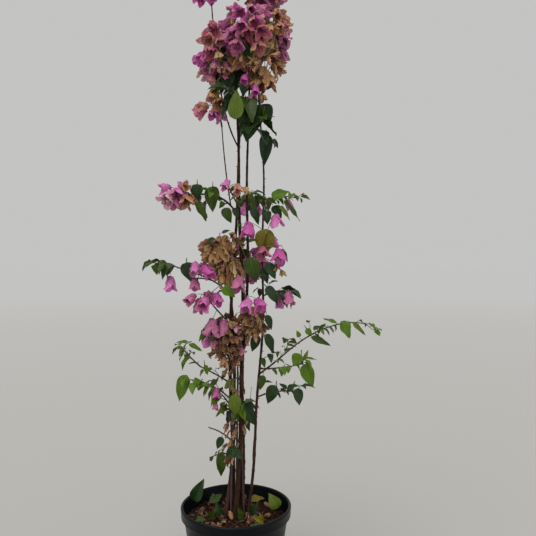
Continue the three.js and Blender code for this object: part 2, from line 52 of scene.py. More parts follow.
# Tables are kept as text, since most are long rows of places in millimetres.
def value_of(word):
    """A word of a table: a number where it is one, and a tuple where it has commas."""
    if "," in word:
        return tuple(value_of(part) for part in word.split(",") if part)
    if word.lstrip("-").replace(".", "").isdigit():
        return float(word) if "." in word else int(word)
    return word


def table(columns, text):
    """A table's rows, each a dict by column. A slash parts two rows on a line, and a dash leaves a place out."""
    lines = [line.split() for line in text.replace("/", "\n").split("\n") if line.strip()]
    return [{key: value_of(word) for key, word in zip(columns.split(), line) if word != "-"} for line in lines]


def by_name(columns, text):
    return {row["name"]: row for row in table("name " + columns, text)}


# The pot and the potting mix, in millimetres.
RIM_RADIUS, RIM_BAND, RIM_OVERHANG, RIM_ROLL = 120, 22, 7, 3.2
POT_HEIGHT, FOOT_RADIUS, WALL, BASE_THICKNESS = 215, 83, 2.4, 3
DRAIN_HOLES, DRAIN_RADIUS, DRAIN_PLACE = 6, 6, 0.72
SOIL_TOP, SOIL_EDGE_DROP, SOIL_LEVEL_RADIUS = 190, 5, 62

CANE_STEP, BOUGH_STEP, SPRAY_STEP = 56, 28, 21
CANE_TAPER, FLARE, FLARE_HEIGHT = 0.8, 0.45, 22

# The canes: where each stands on the mix, where it ends, how far it bows, how it sways, and its radii.
CANES = by_name("foot tip bow sway waves base end", """
cane_main 9,10 -3,0,1128 10,-4 2.2 2.5 6.2 2.4
cane_left -23,-9 -16,-8,700 17,2 1.6 1.5 5.4 2.2
cane_front -2,-21 27,-22,1112 9,-3 2.6 2.2 4.8 2
cane_right 25,8 50,2,1122 20,4 2.4 2.8 3.4 1.7
cane_back -8,27 30,34,1262 -20,8 3 2.1 5 1.8
""")

# The boughs: the limb that each leaves, its seat there, and the way it bends. A seat, here and below, is a height
# in millimetres or, up to 1, a share of the limb's length.
BOUGHS = by_name("on seat heading rise finish reach base end early turn", """
bough_left_high cane_main 800 184 98 -12 152 2.6 1.6
bough_side bough_left_high 0.45 205 80 86 172 1.5 1.1
bough_hooked cane_main 992 192 60 81 336 1.7 1.2 4 68
bough_left_mid cane_left 670 184 52 16 104 1.9 1.3 1.5
bough_right_long cane_right 496 -6 36 42 78 2.1 1.6
bough_left_low cane_left 474 178 34 24 84 1.8 1.3
bough_back_high cane_back 850 74 50 20 80 2.2 1.5 1.5
bough_back_low cane_back 520 112 42 18 86 2.2 1.5 1.5
""")

# The heads of blossom, each set round an ellipsoid on one stem. Dried is the share of dried blooms, and age is how
# the bracts have coloured. Fill, size and room change how many blooms there are, how large and how far out.
HEADS = by_name("on seat centre radii blooms leaves dried seed age fill size room", """
head_top cane_back 1 54,4,1340 36,42,50 18 2 0.2 11 old
head_right cane_right 1 80,-8,1236 26,34,44 15 1 0.4 12 old 2.4
head_front cane_front 1 22,-50,1222 30,26,46 15 1 0.1 13 full - - 11
head_left cane_main 1 -38,-14,1190 34,36,44 16 1 0.25 14 old - - 11
head_back cane_back 1170 6,68,1236 44,26,50 15 2 0.25 15 full
head_dried_high cane_right 1080 64,-34,1144 22,20,24 9 0 1 16 old 1.9 1.4
head_hooked bough_hooked 1 -58,-56,1342 12,12,26 5 0 0 17 full
head_left_drop bough_side 1 -56,-20,1086 14,16,14 5 0 0.35 18 old
head_left_high bough_left_high 1 -128,-12,888 22,22,18 11 1 0.35 19 pale
head_high_front cane_main 862 -14,-38,898 20,8,8 4 0 0.4 24 pale
head_right_mid cane_right 744 66,-26,792 28,12,34 4 2 0 25 young
head_dried_mid cane_left 1 -26,-22,752 30,26,36 17 0 1 20 old
head_left_mid bough_left_mid 0.5 -92,-26,704 26,10,10 3 0 0 28 young
head_under_crown cane_front 1046 38,-46,1112 14,10,14 3 0 0.3 29 full
head_pink_mid cane_left 600 -66,-42,668 30,16,16 7 1 0 21 young
head_front_mid cane_front 640 18,-52,688 18,10,28 3 3 0 26 young
head_dried_low cane_left 496 -16,-42,572 22,14,48 14 1 0.95 22 worn 4 0.78
head_dried_right cane_front 552 48,-38,598 14,10,24 5 3 1 23 old
head_back_mid cane_back 690 22,76,742 36,20,32 9 3 0.3 27 young
""")
# The lobes that the two dried heads in the middle are broken up into.
LOBES = table("name centre radii seed fill size", """
head_dried_mid -41,-24,764 15,16,15 20 1.5 1.15
head_dried_mid -14,-22,721 18,18,19 120 1.9 1.1
head_dried_mid -6,-18,783 11,9,7 121 0.6 0.85
head_dried_right 41,-38,605 10,9,18 23 3
head_dried_right 33,-40,622 9,8,13 122 2.2
""")

# The leafy sprays. Smaller is the share that young leaves have of the solids' leaves.
SPRAYS = by_name("on seat heading rise finish reach leaves leaf_length blooms seed tone smaller early", """
spray_under_crown cane_front 1070 236 52 0 52 4 62 0 31 dark
spray_right_crown cane_front 1004 312 66 10 56 5 60 0 32 dark
spray_right_crown_low cane_right 1000 -30 50 -40 34 3 52 0 51 dark 0.45
spray_left_high bough_left_high 0.72 196 -30 -50 30 3 46 0 33 mid
spray_right_high cane_right 850 -14 66 -22 90 9 46 0 34 bright 0.42
spray_right_mid cane_right 668 -16 34 -16 62 5 48 0 37 dark
spray_left_mid bough_left_mid 1 184 24 4 80 8 42 0 38 mid
spray_right_long bough_right_long 1 -6 42 -30 192 12 42 0 39 bright 0.42 0.45
spray_right_level cane_right 508 -26 4 16 104 6 50 0 40 bright 0.42
spray_right_low cane_right 446 -10 26 -6 88 6 48 0 41 dark 0.35
spray_left_upper bough_left_low 1 178 40 50 56 7 44 0 42 bright 0.68
spray_left_lower cane_left 436 186 52 4 118 7 56 0 43 bright 0.6
spray_left_centre cane_left 410 216 72 30 88 8 46 0 44 bright 0.78
spray_front_low cane_front 414 266 64 -10 42 5 54 0 45 mid 0.6
spray_foot cane_left 318 206 54 -30 50 4 44 0 46 dark 0.4
spray_back_high bough_back_high 1 74 20 -6 84 8 50 2 47 mid
spray_back_low bough_back_low 1 112 18 0 96 9 50 2 48 bright 0.85
spray_back_foot cane_back 372 66 50 6 84 6 52 0 50 dark
twig_bare_low cane_left 352 184 48 16 64 0 40 0 49 mid
""")

# Blooms of the small heads and sprays that show one by one: the seat, the way it opens, tone and size.
SET_BLOOMS = {
    "head_left_high": """
-135,-30,892 -0.45,-0.55,-0.75 blush 0.98 / -122,-30,898 -0.05,-0.7,-0.8 pink 0.95
-139,-20,904 -0.75,-0.4,-0.25 pink 0.85 / -121,-14,898 0.1,0.2,0.9 pink 0.55 / -117,-24,899 0.7,-0.6,0.1 ochre 0.66
-110,-26,888 0.2,-0.5,-0.9 peach 0.98 / -105,-16,891 0.3,-0.1,-0.95 ochre 0.9
-127,-26,884 -0.15,-0.4,-0.95 mauve 0.88 / -146,-6,895 -0.7,0.3,-0.6 magenta 0.88
-134,2,900 -0.1,0.8,-0.5 pink 0.9 / -119,2,896 0.4,0.7,-0.6 rose 0.9 / -119,-12,881 0.1,0.1,-1 tan 1
-107,-22,880 0.1,-0.3,-0.9 tan 1.1
""",
    "spray_right_high": """
112,24,881 0.3,0.8,-0.5 pink 0.85
""",
    "head_right_mid": """
85,-14,738 0.2,-0.3,-0.9 tan 0.62 / 98,-10,725 0.4,-0.3,-0.8 straw 0.58 / 29,-42,827 -0.05,-0.25,-1 magenta 0.95
85,-20,845 0.12,-0.05,-1 pink 0.98 / 93,-16,771 0.05,-0.35,-1 magenta 1.12 / 56,-8,777 0.1,-0.5,-0.9 rose 0.8
74,8,800 0.3,0.8,-0.6 pink 0.9
""",
    "head_hooked": """
-66,-56,1303 -0.2,-0.4,-1 magenta 0.8 / -52,-56,1305 0.3,-0.5,-0.9 magenta 0.75
-73,-52,1312 -0.7,-0.4,-0.6 magenta 0.7 / -57,-62,1315 0,-1,0.2 pink 0.9 / -44,-50,1323 0.8,0,0.1 mauve 0.85
-73,-50,1331 -0.7,0,0.5 pink 0.85 / -59,-46,1317 0.1,1,-0.3 magenta 0.9 / -58,-54,1340 0.1,-0.1,1 pink 0.8
""",
    "head_high_front": """
-15,-40,914 -0.3,-0.6,-0.7 pink 0.72 / 4,-40,907 0.1,-0.5,-0.8 peach 0.8 / 19,-36,901 0.4,-0.4,-0.8 straw 0.85
1,-30,898 -0.1,0.4,-0.9 tan 0.8
""",
    "head_left_mid": """
-86,-30,742 0.1,-0.5,-0.9 pink 0.95 / -65,-52,734 0.5,-0.5,-0.75 magenta 0.98 / -87,-24,708 0,-0.2,-1 mauve 0.85
-75,-14,738 0.2,0.9,-0.5 pink 0.9
""",
    "spray_left_mid": """
-142,-14,712 0.1,-0.25,-1 pink 0.98
""",
    "head_pink_mid": """
-86,-46,673 -0.35,-0.8,-0.5 mauve 1.05 / -61,-50,667 -0.1,-0.9,-0.6 pink 1 / -40,-44,677 0.25,-0.5,-0.9 magenta 1
-75,-36,666 -0.1,-0.3,-0.9 rose 0.9 / -45,-52,624 -0.18,-0.12,-1 mauve 1.02 / -27,-48,621 0.2,-0.12,-1 mauve 0.95
-59,-24,674 0,0.9,-0.4 pink 0.95
""",
    "head_front_mid": """
9,-50,711 -0.1,-0.5,-0.9 mauve 0.95 / 30,-54,665 -0.35,-0.6,-0.75 pink 0.95 / 46,-50,665 0.4,-0.5,-0.8 magenta 0.95
""",
    "spray_right_mid": """
113,-14,680 0.1,-0.3,-1 mauve 0.98 / 91,10,668 0.2,0.6,-0.8 pink 0.9
""",
    "spray_left_centre": """
-40,-44,477 0,-0.4,-0.9 magenta 0.7 / -42,-42,447 0.1,-0.4,-0.9 mauve 0.5
""",
    "head_under_crown": """
23,-52,1134 -0.2,-0.5,-0.9 magenta 0.72 / 42,-54,1110 0.1,-0.6,-0.8 magenta 0.75
55,-44,1096 0.3,-0.4,-0.9 tan 0.85 / 40,-40,1102 -0.2,-0.2,-0.9 mauve 0.7 / 44,-34,1129 0.4,0.7,-0.5 magenta 0.75
""",
    "head_left_drop": """
-42,-24,1113 -0.2,-0.5,-0.8 ochre 0.95 / -33,-26,1090 0.1,-0.7,-0.6 ochre 0.9
-59,-26,1076 -0.7,-0.7,-0.2 peach 0.82 / -46,-28,1065 -0.1,-0.7,-0.7 magenta 0.8
-64,-16,1075 -0.8,0.1,-0.5 rose 0.8 / -39,-8,1077 0.2,0.8,-0.5 rose 0.8 / -36,-22,1064 0.3,-0.2,-0.9 mauve 0.75
""",
}
# Where the crown's colours gather: a patch's middle across and up, its radius, and the tones dealt there if any.
PATCHES = table("middle radius tones", """
-87,1226 31 / 154,1237 47 / 27,1184 13 / -56,1203 13 ochre,peach / -80,1173 17 magenta,pink / -50,1245 17 peach,rose
-16,1182 17 magenta,mauve,pink / -37,1220 17 rose,mauve / -46,1143 17 magenta,mauve / 93,1275 20 rose,peach,ochre
89,1228 22 rose,ochre,peach,mauve / 57,1203 20 tan,ochre,rose,straw / 48,1169 17 tan,umber,ochre,rose
25,1258 26 pink,magenta,mauve / 57,1280 17 rose,mauve
""")
PATCH_DEPTH = 20

# Leaves that hang apart from the others: where the blade starts, its tip across and up, its breadth, tone and form.
LONE_LEAVES = table("knee tip broad tone form", """
67,-48,631 77,600 0.75 dark / -25,-18,859 -10,828 1.15 mid / -4,-20,859 3,834 1 dark / -42,-46,791 -60,784 1 dark
218,-16,611 192,626 0.5 bright / 227,-16,615 250,581 0.95 bright / 251,-16,613 284,588 0.42 light
162,-18,581 205,562 0.55 mid / 152,-12,598 164,583 1.2 bright / 167,-14,598 183,605 0.8 mid
180,-14,596 194,611 0.7 mid / 184,-18,598 190,586 0.8 bright / 137,-10,580 132,594 1.2 bright
130,-10,567 113,574 0.6 mid / 137,-40,548 122,523 1.3 bright / 145,-42,535 156,555 0.55 light
148,-42,540 172,540 0.35 light / 145,-44,527 166,478 0.9 bright / 85,-16,477 67,437 1.05 dark
110,-14,470 95,480 0.9 dark / 123,-18,478 110,462 1 dark / 132,-18,471 142,435 0.98 dark
78,-16,880 115,895 0.95 bright / 95,-18,863 119,835 0.5 light / 104,-18,875 138,830 0.32 mid
80,-6,864 100,838 1 dark / 35,-14,861 50,824 0.8 dark / 63,-20,854 74,824 1.2 dark / 56,-12,885 39,891 0.4 dark
67,-16,878 89,871 0.8 mid / 102,-8,769 113,743 0.55 dark / -21,-20,1142 -29,1104 1 dark / -6,-16,1156 3,1120 1 dark
-13,-8,1133 -4,1095 0.9 dark / 67,-20,742 87,706 0.9 dark / 56,-12,730 65,695 0.9 dark
5,-72,1098 5,1035 0.9 light teardrop / 40,-44,1077 32,998 1.05 dark / 57,-34,1078 67,1030 1.1 dark
65,-27,1016 65,949 0.72 dark / -16,-25,1153 -24,1109 1.1 dark / 7,-14,1161 3,1108 1 dark
23,-33,1138 17,1094 1 dark / -10,10,1179 -18,1133 1.1 dark / -38,2,1154 -42,1122 0.9 dark
43,8,1167 52,1126 1.1 dark / 18,-62,1180 47,1160 1.3 dark / 82,-30,1120 64,1110 0.8 dark
65,-16,814 63,766 1.5 olive round / 32,-47,753 36,698 1 mid / -83,-22,910 -84,875 1.2 dark
-49,-17,906 -46,850 1.02 mid / -85,-20,871 -59,834 0.7 mid / -29,-20,805 -14,813 0.8 dark
-105,-16,499 -135,446 0.82 bright / -2,-82,470 0,429 1 light / 13,-48,450 44,397 0.75 dark
-104,-22,742 -97,700 1.3 dark / -162,-14,747 -150,719 1.15 mid / -26,-63,686 1,672 1.25 bright
65,-24,689 99,659 0.95 dark / -93,-14,481 -60,476 0.85 bright / -39,-34,492 -53,476 1 mid
-3,-36,490 -24,476 1.1 bright / 2,-46,351 -23,334 1.1 dark / -4,-48,347 19,332 1 dark / -31,-28,337 -35,281 0.6 mid
-29,-24,368 -41,343 1.05 dark / -66,-18,521 -59,500 0.8 bright / 48,-30,587 35,551 0.9 dark
65,-28,589 82,547 0.75 dark / 56,-10,535 61,514 0.9 mid / 59,-12,498 52,465 0.75 mid
-103,-14,570 -128,575 0.5 bright / -101,-16,566 -70,553 0.5 bright
""")
LONE_FORWARD, LONE_LEAN, LONE_SWAY, LONE_SPACING = 5, 30, 0.35, 17

# Heads whose leaves are among the lone leaves, and sprays that have no young shoots.
LEAFLESS = (
    "head_left_high", "head_right_mid", "head_dried_right", "head_pink_mid", "head_front_mid", "head_top",
    "head_right",
)
SHOOTLESS = ("spray_right_crown_low", "spray_left_mid", "spray_foot")

# Leafy side shoots straight off the boughs and canes: the limb, shares of its length, tone and leaf length.
LIMB_SHOOTS = table("limb shares tone leaf_length", """
bough_left_high 0.3,0.5,0.68,0.9 mid 52 / bough_left_mid 0.55,0.8 mid 40 / bough_right_long 0.5,0.75,0.95 bright 38
bough_left_low 0.45,0.7,0.95 bright 40 / bough_back_high 0.5,0.8 mid 46 / bough_back_low 0.5,0.8 bright 46
bough_hooked 0.93, dark 40 / cane_right 0.3,0.36,0.52,0.6 dark 46 / cane_left 0.2,0.28,0.93 dark 44
cane_main 0.62,0.66 mid 44 / cane_front 0.45,0.55 dark 50 / cane_back 0.35,0.5,0.66 mid 46
""")

# Dry stems of earlier years among the canes: where each stands on the mix, its broken tip, and its radius.
DRY_STEMS = table("foot tip radius", """
-10,-14 -3,-18,438 2.4 / 2,-10 5,-14,492 2.8 / -14,-2 -9,-10,392 2.1
17,-4 13,-12,366 2 / -1,8 3,0,540 2.4 / 6,-20 11,-24,330 1.8
""")
DRY_BOW, DRY_TAPER = 0.25, 0.6

# Thin dead twigs that lean on the lower canes: the cane, the height that each leaves it at, and its length.
DEAD_TWIGS = table("limb height reach", """
cane_left 300 90 / cane_left 360 70 / cane_left 450 80 / cane_left 520 60 / cane_front 330 100 / cane_front 420 80
cane_front 500 70 / cane_main 340 110 / cane_main 470 90 / cane_back 300 80 / cane_right 300 60 / cane_back 430 100
""")

# Dried bracts that have dropped and caught on the lower stems: the limb, from and to which height, and how many.
CAUGHT = table("limb low high count", """
cane_left 300 520 14 / cane_front 480 640 9 / cane_main 340 540 8 / cane_front 300 420 4
""")
CAUGHT_OUT, CAUGHT_LENGTH, CAUGHT_BEND, CAUGHT_HALF = (8, 25), (15, 26), (18, 0), 0.24

# Leaves that have dropped on the mix: where the blade starts, where its tip is, its breadth, how far it leans back.
FALLEN_LEAVES = table("knee tip broad lean tone", """
-96,30,209 -75,26,255 0.9 20 dark / -84,-40,196 -60,-50,203 0.9 60 mid / 92,20,197 74,14,228 1.15 15 light
60,-44,193 44,-58,212 1 40 olive / -30,-24,196 -42,-30,228 0.8 10 dark / 14,-32,194 6,-38,222 0.8 10 mid
-54,-32,196 -46,-40,220 0.9 20 mid / 36,-62,192 62,-66,198 0.8 60 dark / 30,60,196 60,66,206 1 60 olive
-60,50,196 -36,66,212 1 50 mid / -10,-86,190 12,-90,199 0.8 50 olive / 34,-14,196 46,-20,224 0.8 20 dark
""")
FALLEN_SWAY, FALLEN_BRACTS, FALLEN_REACH, FALLEN_LENGTH, FALLEN_HALF = 0.2, 46, (30, 98), (12, 24), 0.34

# How the leaves, heads and sprays of the solids are grown: these are the rule's own sizes.
STALK, STALK_LIFT, LEAF_ARCH, LEAF_HALF = 8, 0.35, 0.16, 0.31
BRACT_LENGTH = 37
HEAD_STEPS, HEAD_TWIGS, HEAD_DEPTH, HEAD_BEND, HEAD_CREST, HEAD_TRIES = 5, (0.4, 0.95), (0.62, 1), 0.45, 0.35, 5
PLACE_STEP = 0.382
HEAD_LEAF, HEAD_LEAF_HANG = (48, 60), 1.1
SPRAY_BARE, SPRAY_SIZES, SPRAY_UNEVEN, SPRAY_HANG = 0.3, (1.15, 0.7), (0.8, 1.15), (0.5, 1.2)
SPRAY_TURNS = (0, 2.1, 4.2)
BLOOM_SPAN, BLOOM_OUT, BLOOM_DROP, BLOOM_LIFT, BLOOM_LEAN = 0.5, 16, 12, 9, 0.5

# What the looks add: more and smaller blooms than the solids hold, in three layers one inside the other, and how
# near they and the leaves may come to each other.
DENSE_HEAD, MORE_BLOOMS, SPARSE_BLOOMS, ALL_DRIED = 9, 2.2, 1.2, 0.8
HEAD_LAYERS, LAYER_TURN = (1, 0.75, 0.45), 1.3
BLOOM_SPACING = {False: 15.5, True: 9}
BLOOM_ROOM, BLOOM_RAISED, BLOOM_CLEAR, STEM_PLACES = 5, 10, 12, 12
CROWN_FOOT, CROWN_DRIED = 1100, 1.22
LEAF_SPACING, LIMB_SPACING = 10, 4
INNER_LEAVES, INNER_DEPTH, INNER_LENGTH, INNER_HANG = 7, (0.25, 0.55), (20, 34), (0.1, 1)
SHOOT_EVERY, SHOOT_REACH, SHOOT_LEAVES, YOUNG_LEAF, END_LEAF = 34, (6, 24), (2, 3.5), (0.45, 0.72), 0.55

# The radii of twigs at their two ends.
HEAD_STEM, SPRAY_STEM, LEAF_TWIG, INNER_TWIG, LONE_TWIG = (2, 1.4), (1.9, 1.1), (1, 0.8), (0.9, 0.7), (1, 0.7)
BLOOM_STALK, SHOOT_TWIG, DEAD_TWIG, CAUGHT_STALK = (0.8, 0.5), (0.9, 0.6), (0.9, 0.45), (0.6, 0.5, 0.4)
LEAF_STALK = (0.75, 0.6, 0.55, 0.45)
SCAR_SWELL, BUD_RADII, BUD_LENGTH = 1.12, (0.9, 0.5, 0.15), (1.8, 4.2)

# Bracts by the age of their head: size, crumple in millimetres, flare and curl in degrees, half width, how far the
# margins have turned tan, and how far the bloom nods. Set is for the blooms that are set one by one.
AGES = by_name("size crumple flare curl half turned_tan nod", """
young 0.98 2.8 14,30 -4,28 0.4,0.5 -0.5,0.1 1.3
worn 0.85 3.6 14,30 -10,16 0.4,0.5 0,0.4 1.3
pale 0.94 2.4 14,30 -14,12 0.4,0.5 -0.6,0.3 0.9
full 1.04 4.2 10,46 -12,20 0.32,0.42 -0.4,0.5 1.1
old 1 5 8,48 -16,20 0.31,0.42 -0.2,0.7 1.15
set 1.12 2.2 14,32 -16,24 0.38,0.48 -0.6,0.1
""")
# How often each tone is dealt to a fresh and to a dried bloom.
DEALS = by_name("fresh dried", """
young pink,pink,magenta,pink,magenta umber,tan,umber,umber,straw
worn blush,mauve umber,umber,tan,umber,umber,umber
pale pink,blush,pink,pink,blush,pink tan,straw
full magenta,pink,mauve,magenta,pink,rose tan,straw,tan
old rose,mauve,magenta,rose,ochre,pink,peach,mauve,rose tan,straw,tan,umber,tan,umber,tan,straw
""")
# Dried bracts have shrunk unevenly, are crumpled, and hang.
DRIED_SHRUNK, DRIED_HALF, DRIED_CRUMPLE = (0.56, 0.94), (0.13, 0.36), (2.5, 7.5)
DRIED_FLARE, DRIED_CURL, DRIED_PLEAT = (10, 26), (-22, 16), 1.3
DRIED_DROOP, DRIED_HANG, DRIED_TURN = 0.9, 0.7, 0.9
LOOSE_CRUMPLE = 4
# The share of a bloom's bracts that have its own tone, fresh and dried. The tube flowers: the share that is open,
# the radii up the neck, those of the shut and the open mouth, and how far the star's points and notches reach.
OWN_TONE = {False: 0.75, True: 0.6}
OPEN_FLOWERS, NECK_RADII, MOUTH = 0.012, (0.5, 0.9, 1.2, 1.25), {False: 0.6, True: 1.1}
STAR_POINT, STAR_NOTCH, STAR_CORNERS = 3.6, 2.1, 10


def mix(a, b, share):
    return a + (b - a) * share


def seeded(seed):
    """The same run of numbers between 0 and 1 for the same seed."""
    state = seed * 7919 + 17

    def draw(low=0.0, high=1.0):
        nonlocal state
        state = state * 48271 % 2147483647
        return mix(low, high, state / 2147483647)

    return draw


def pick(choices, random):
    return choices[int(random() * len(choices))]


def pointing(heading, rise):
    """A unit vector by compass heading and rise above the level, in degrees."""
    turn, climb = math.radians(heading), math.radians(rise)
    return Vector((math.cos(climb) * math.cos(turn), math.cos(climb) * math.sin(turn), math.sin(climb)))


def on_ball(height, angle):
    """A unit vector by its height from -1 to 1 and its turn round the vertical."""
    ring = math.sqrt(1 - height * height)
    return Vector((ring * math.cos(angle), ring * math.sin(angle), height))


def side_of(direction):
    """A level unit vector square to the one given."""
    side = direction.cross(UP)
    return side.normalized() if side.length > 0.05 else Vector((1, 0, 0))


def square_to(direction, vector):
    """The part of a vector that is square to the direction, as a unit vector."""
    return (vector - direction * vector.dot(direction)).normalized()


def turned(vector, axis, angle):
    return Quaternion(axis, angle) @ vector


def aside_from(direction, angle):
    """A unit vector square to the direction, at an angle round it."""
    return turned(side_of(direction), direction, angle)


def along(points, share):
    """The point and the direction at a share of the way along a run of points."""
    at = share * (len(points) - 1)
    i = min(int(at), len(points) - 2)
    return points[i].lerp(points[i + 1], at - i), (points[i + 1] - points[i]).normalized()


def curve(start, middle, end, steps):
    """Points on a curve from start to end that leans towards its middle point."""
    shares = [i / steps for i in range(steps + 1)]
    return [start * (1 - t) ** 2 + middle * 2 * t * (1 - t) + end * t * t for t in shares]


def smoothed(points, times):
    """A run of points with its bends rounded and more points on it."""
    full = [points[0] * 2 - points[1], *points, points[-1] * 2 - points[-2]]
    made = []
    for a, b, c, d in zip(full, full[1:], full[2:], full[3:]):
        for t in [k / times for k in range(times)]:
            straight = 2 * b + (c - a) * t
            made.append(0.5 * (straight + (2 * a - 5 * b + 4 * c - d) * t**2 + (3 * b - a - 3 * c + d) * t**3))
    return [*made, points[-1].copy()]


# The limbs, grown as the solids are.
def cane_points(cane):
    low, high = Vector((*cane["foot"], SOIL_TOP)), Vector(cane["tip"])
    steps = round((high - low).length / CANE_STEP)
    points = []
    for share in [i / steps for i in range(steps + 1)]:
        bulge, wave = 4 * share * (1 - share), FULL_TURN * cane["waves"] * share
        point = low.lerp(high, share)
        point.x += cane["bow"][0] * bulge + cane["sway"] * math.sin(wave)
        point.y += cane["bow"][1] * bulge + cane["sway"] * (math.cos(wave) - 1) * bulge
        points.append(point)
    return points


limb_points = {name: cane_points(cane) for name, cane in CANES.items()}


def root_on(limb, seat):
    """Where a stem leaves its limb: at a height in millimetres, or at a share of the limb's length."""
    points = limb_points[limb]
    if seat <= 1:
        return along(points, seat)[0]
    i = next(k for k, point in enumerate(points) if point.z > seat)
    low, high = points[i - 1], points[i]
    return low.lerp(high, (seat - low.z) / (high.z - low.z))


def shoot_points(shoot, step):
    """The points of a shoot that starts on a limb and bends from its first rise to its finish."""
    steps = max(2, round(shoot["reach"] / step))
    points = [root_on(shoot["on"], shoot["seat"])]
    for i in range(steps):
        share = (i + 0.5) / steps
        slope = mix(shoot["finish"], shoot["rise"], (1 - share) ** shoot.get("early", 1))
        heading = shoot["heading"] + shoot.get("turn", 0) * share
        points.append(points[-1] + pointing(heading, slope) * (shoot["reach"] / steps))
    return points


for name, bough in BOUGHS.items():
    limb_points[name] = shoot_points(bough, BOUGH_STEP)


def limb_radius(name, share, height):
    """A limb's radius at a share of its length, with the flare at a cane's foot."""
    if name in BOUGHS:
        return mix(BOUGHS[name]["base"], BOUGHS[name]["end"], share)
    flare = 1 + FLARE * math.exp(-(height - SOIL_TOP) / FLARE_HEIGHT)
    return mix(CANES[name]["base"], CANES[name]["end"], share**CANE_TAPER) * flare


limb_axis = np.array([p for points in limb_points.values() for p in smoothed(points, 8)])


def clear_of_limbs(*points):
    """Whether none of the points comes too near a limb's axis."""
    near = [np.min(np.sum((limb_axis - np.array(p)) ** 2, axis=1)) for p in points]
    return min(near) > LIMB_SPACING**2


def add_object(name, points, faces):
    """A new mesh object in the scene, from points in metres."""
    mesh = bpy.data.meshes.new(name)
    mesh.from_pydata(points, [], faces)
    made = bpy.data.objects.new(name, mesh)
    bpy.context.scene.collection.objects.link(made)
    return made


class Piece:
    """Gathers the faces of one kind from many places, in millimetres."""

    def __init__(self, name, slot, materials):
        self.name, self.slot, self.materials = name, slot, materials
        self.points, self.marks, self.faces, self.tones, self.nodes = [], [], [], [], set()
        self.count = 0

    def add(self, points, faces, node=None, tone=0, marks=None):
        """Adds points, faces that number them, a material for all or each face, and places on the blade."""
        self.points.append(np.asarray(points, float))
        self.marks.append(np.zeros((len(points), 2)) if marks is None else marks)
        self.faces += [tuple(self.count + i for i in face) for face in faces]
        self.tones += [tone] * len(faces) if isinstance(tone, int) else tone
        self.count += len(points)
        if node:
            self.nodes.add(node)

    def build(self, sharp=50):
        """Makes the object, rides it on the plant's body and hides the solids that it stands for."""
        made = add_object(self.name, np.concatenate(self.points) * MM, self.faces)
        mesh = made.data
        for material in self.materials:
            mesh.materials.append(material)
        mesh.polygons.foreach_set("material_index", np.array(self.tones, np.int32))
        corners = np.empty(len(mesh.loops), np.int32)
        mesh.loops.foreach_get("vertex_index", corners)
        places = mesh.uv_layers.new(name="blade")
        places.data.foreach_set("uv", np.concatenate(self.marks)[corners].astype(np.float32).ravel())
        mesh.shade_smooth()
        mesh.set_sharp_from_angle(angle=math.radians(sharp))
        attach(made, "root")
        if self.nodes:
            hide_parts(*sorted(self.nodes))
        return made


def tube(points, radii, sides, pointed=False, swell=None):
    """The points and faces of a closed tube that is laid along the points. swell gives a ring's own radii."""
    rings, last = [], len(points) - 1
    across = None
    for i, point in enumerate(points):
        tangent = (points[min(i + 1, last)] - points[max(i - 1, 0)]).normalized()
        across = side_of(tangent) if across is None else square_to(tangent, across)
        other = tangent.cross(across)
        for k in range(sides):
            angle = FULL_TURN * k / sides
            reach = swell(i, k) if swell else radii[i]
            rings.append(point + (across * math.cos(angle) + other * math.sin(angle)) * reach)
    faces = []
    for i in range(last):
        for k in range(sides):
            low, next_low = i * sides + k, i * sides + (k + 1) % sides
            faces.append((low, next_low, next_low + sides, low + sides))
    faces.append(tuple(reversed(range(sides))))
    if pointed:
        rings.append(points[-1] + (points[-1] - points[-2]).normalized() * radii[-1])
        faces += [(last * sides + k, last * sides + (k + 1) % sides, len(rings) - 1) for k in range(sides)]
    else:
        faces.append(tuple(last * sides + k for k in range(sides)))
    return rings, faces


class Blade:
    """The grid of a closed thin blade: where its points lie across and along, and its faces above and below."""

    def __init__(self, rows, columns):
        places = [(0, 0, 0)]
        shares = [mix(i / rows, 0.5 - 0.5 * math.cos(math.pi * i / rows), 0.5) for i in range(rows + 1)]
        spread = [2 * j / columns - 1 for j in range(columns + 1)]
        for share in shares[1:-1]:
            places += [(u, share, 1 if abs(u) < 1 else 0) for u in spread]
        places.append((0, 1, 0))
        tip = len(places) - 1
        for share in shares[1:-1]:
            places += [(u, share, -1) for u in spread[1:-1]]
        self.across, self.along, self.face = np.array(places, float).T
        self.marks = np.stack([self.across / 2 + 0.5, self.along], axis=1)

        def upper(i, j):
            return 1 + (i - 1) * (columns + 1) + j

        def lower(i, j):
            return upper(i, j) if j in (0, columns) else tip + 1 + (i - 1) * (columns - 1) + j - 1

        self.faces = []
        for side in (upper, lower):
            made = [(0, side(1, j + 1), side(1, j)) for j in range(columns)]
            for i in range(1, rows - 1):
                made += [(side(i, j), side(i, j + 1), side(i + 1, j + 1), side(i + 1, j)) for j in range(columns)]
            made += [(side(rows - 1, j), side(rows - 1, j + 1), tip) for j in range(columns)]
            self.faces += made if side is upper else [tuple(reversed(face)) for face in made]
        self.middles = [
            (np.mean([abs(self.across[p]) for p in face]), np.mean([self.along[p] for p in face]))
            for face in self.faces
        ]


def outline(share, rise, fall):
    """A blade's width along it as a share of its widest: rise rounds its foot and fall draws out its tip."""
    peak = rise / (rise + fall)
    return share**rise * (1 - share) ** fall / (peak**rise * (1 - peak) ** fall)


LEAF_GRID, SMALL_LEAF_GRID = Blade(10, 6), Blade(6, 4)
BRACT_GRID, DRIED_GRID = Blade(12, 8), Blade(9, 6)
LEAF_THICKNESS, BRACT_THICKNESS = 0.4, 0.3
LEAF_FORMS = {"pointed": (0.55, 1.1), "round": (0.5, 0.62), "teardrop": (1.15, 0.5)}
BRACT_FORM = (0.5, 0.6)
BELL_STEPS = 24


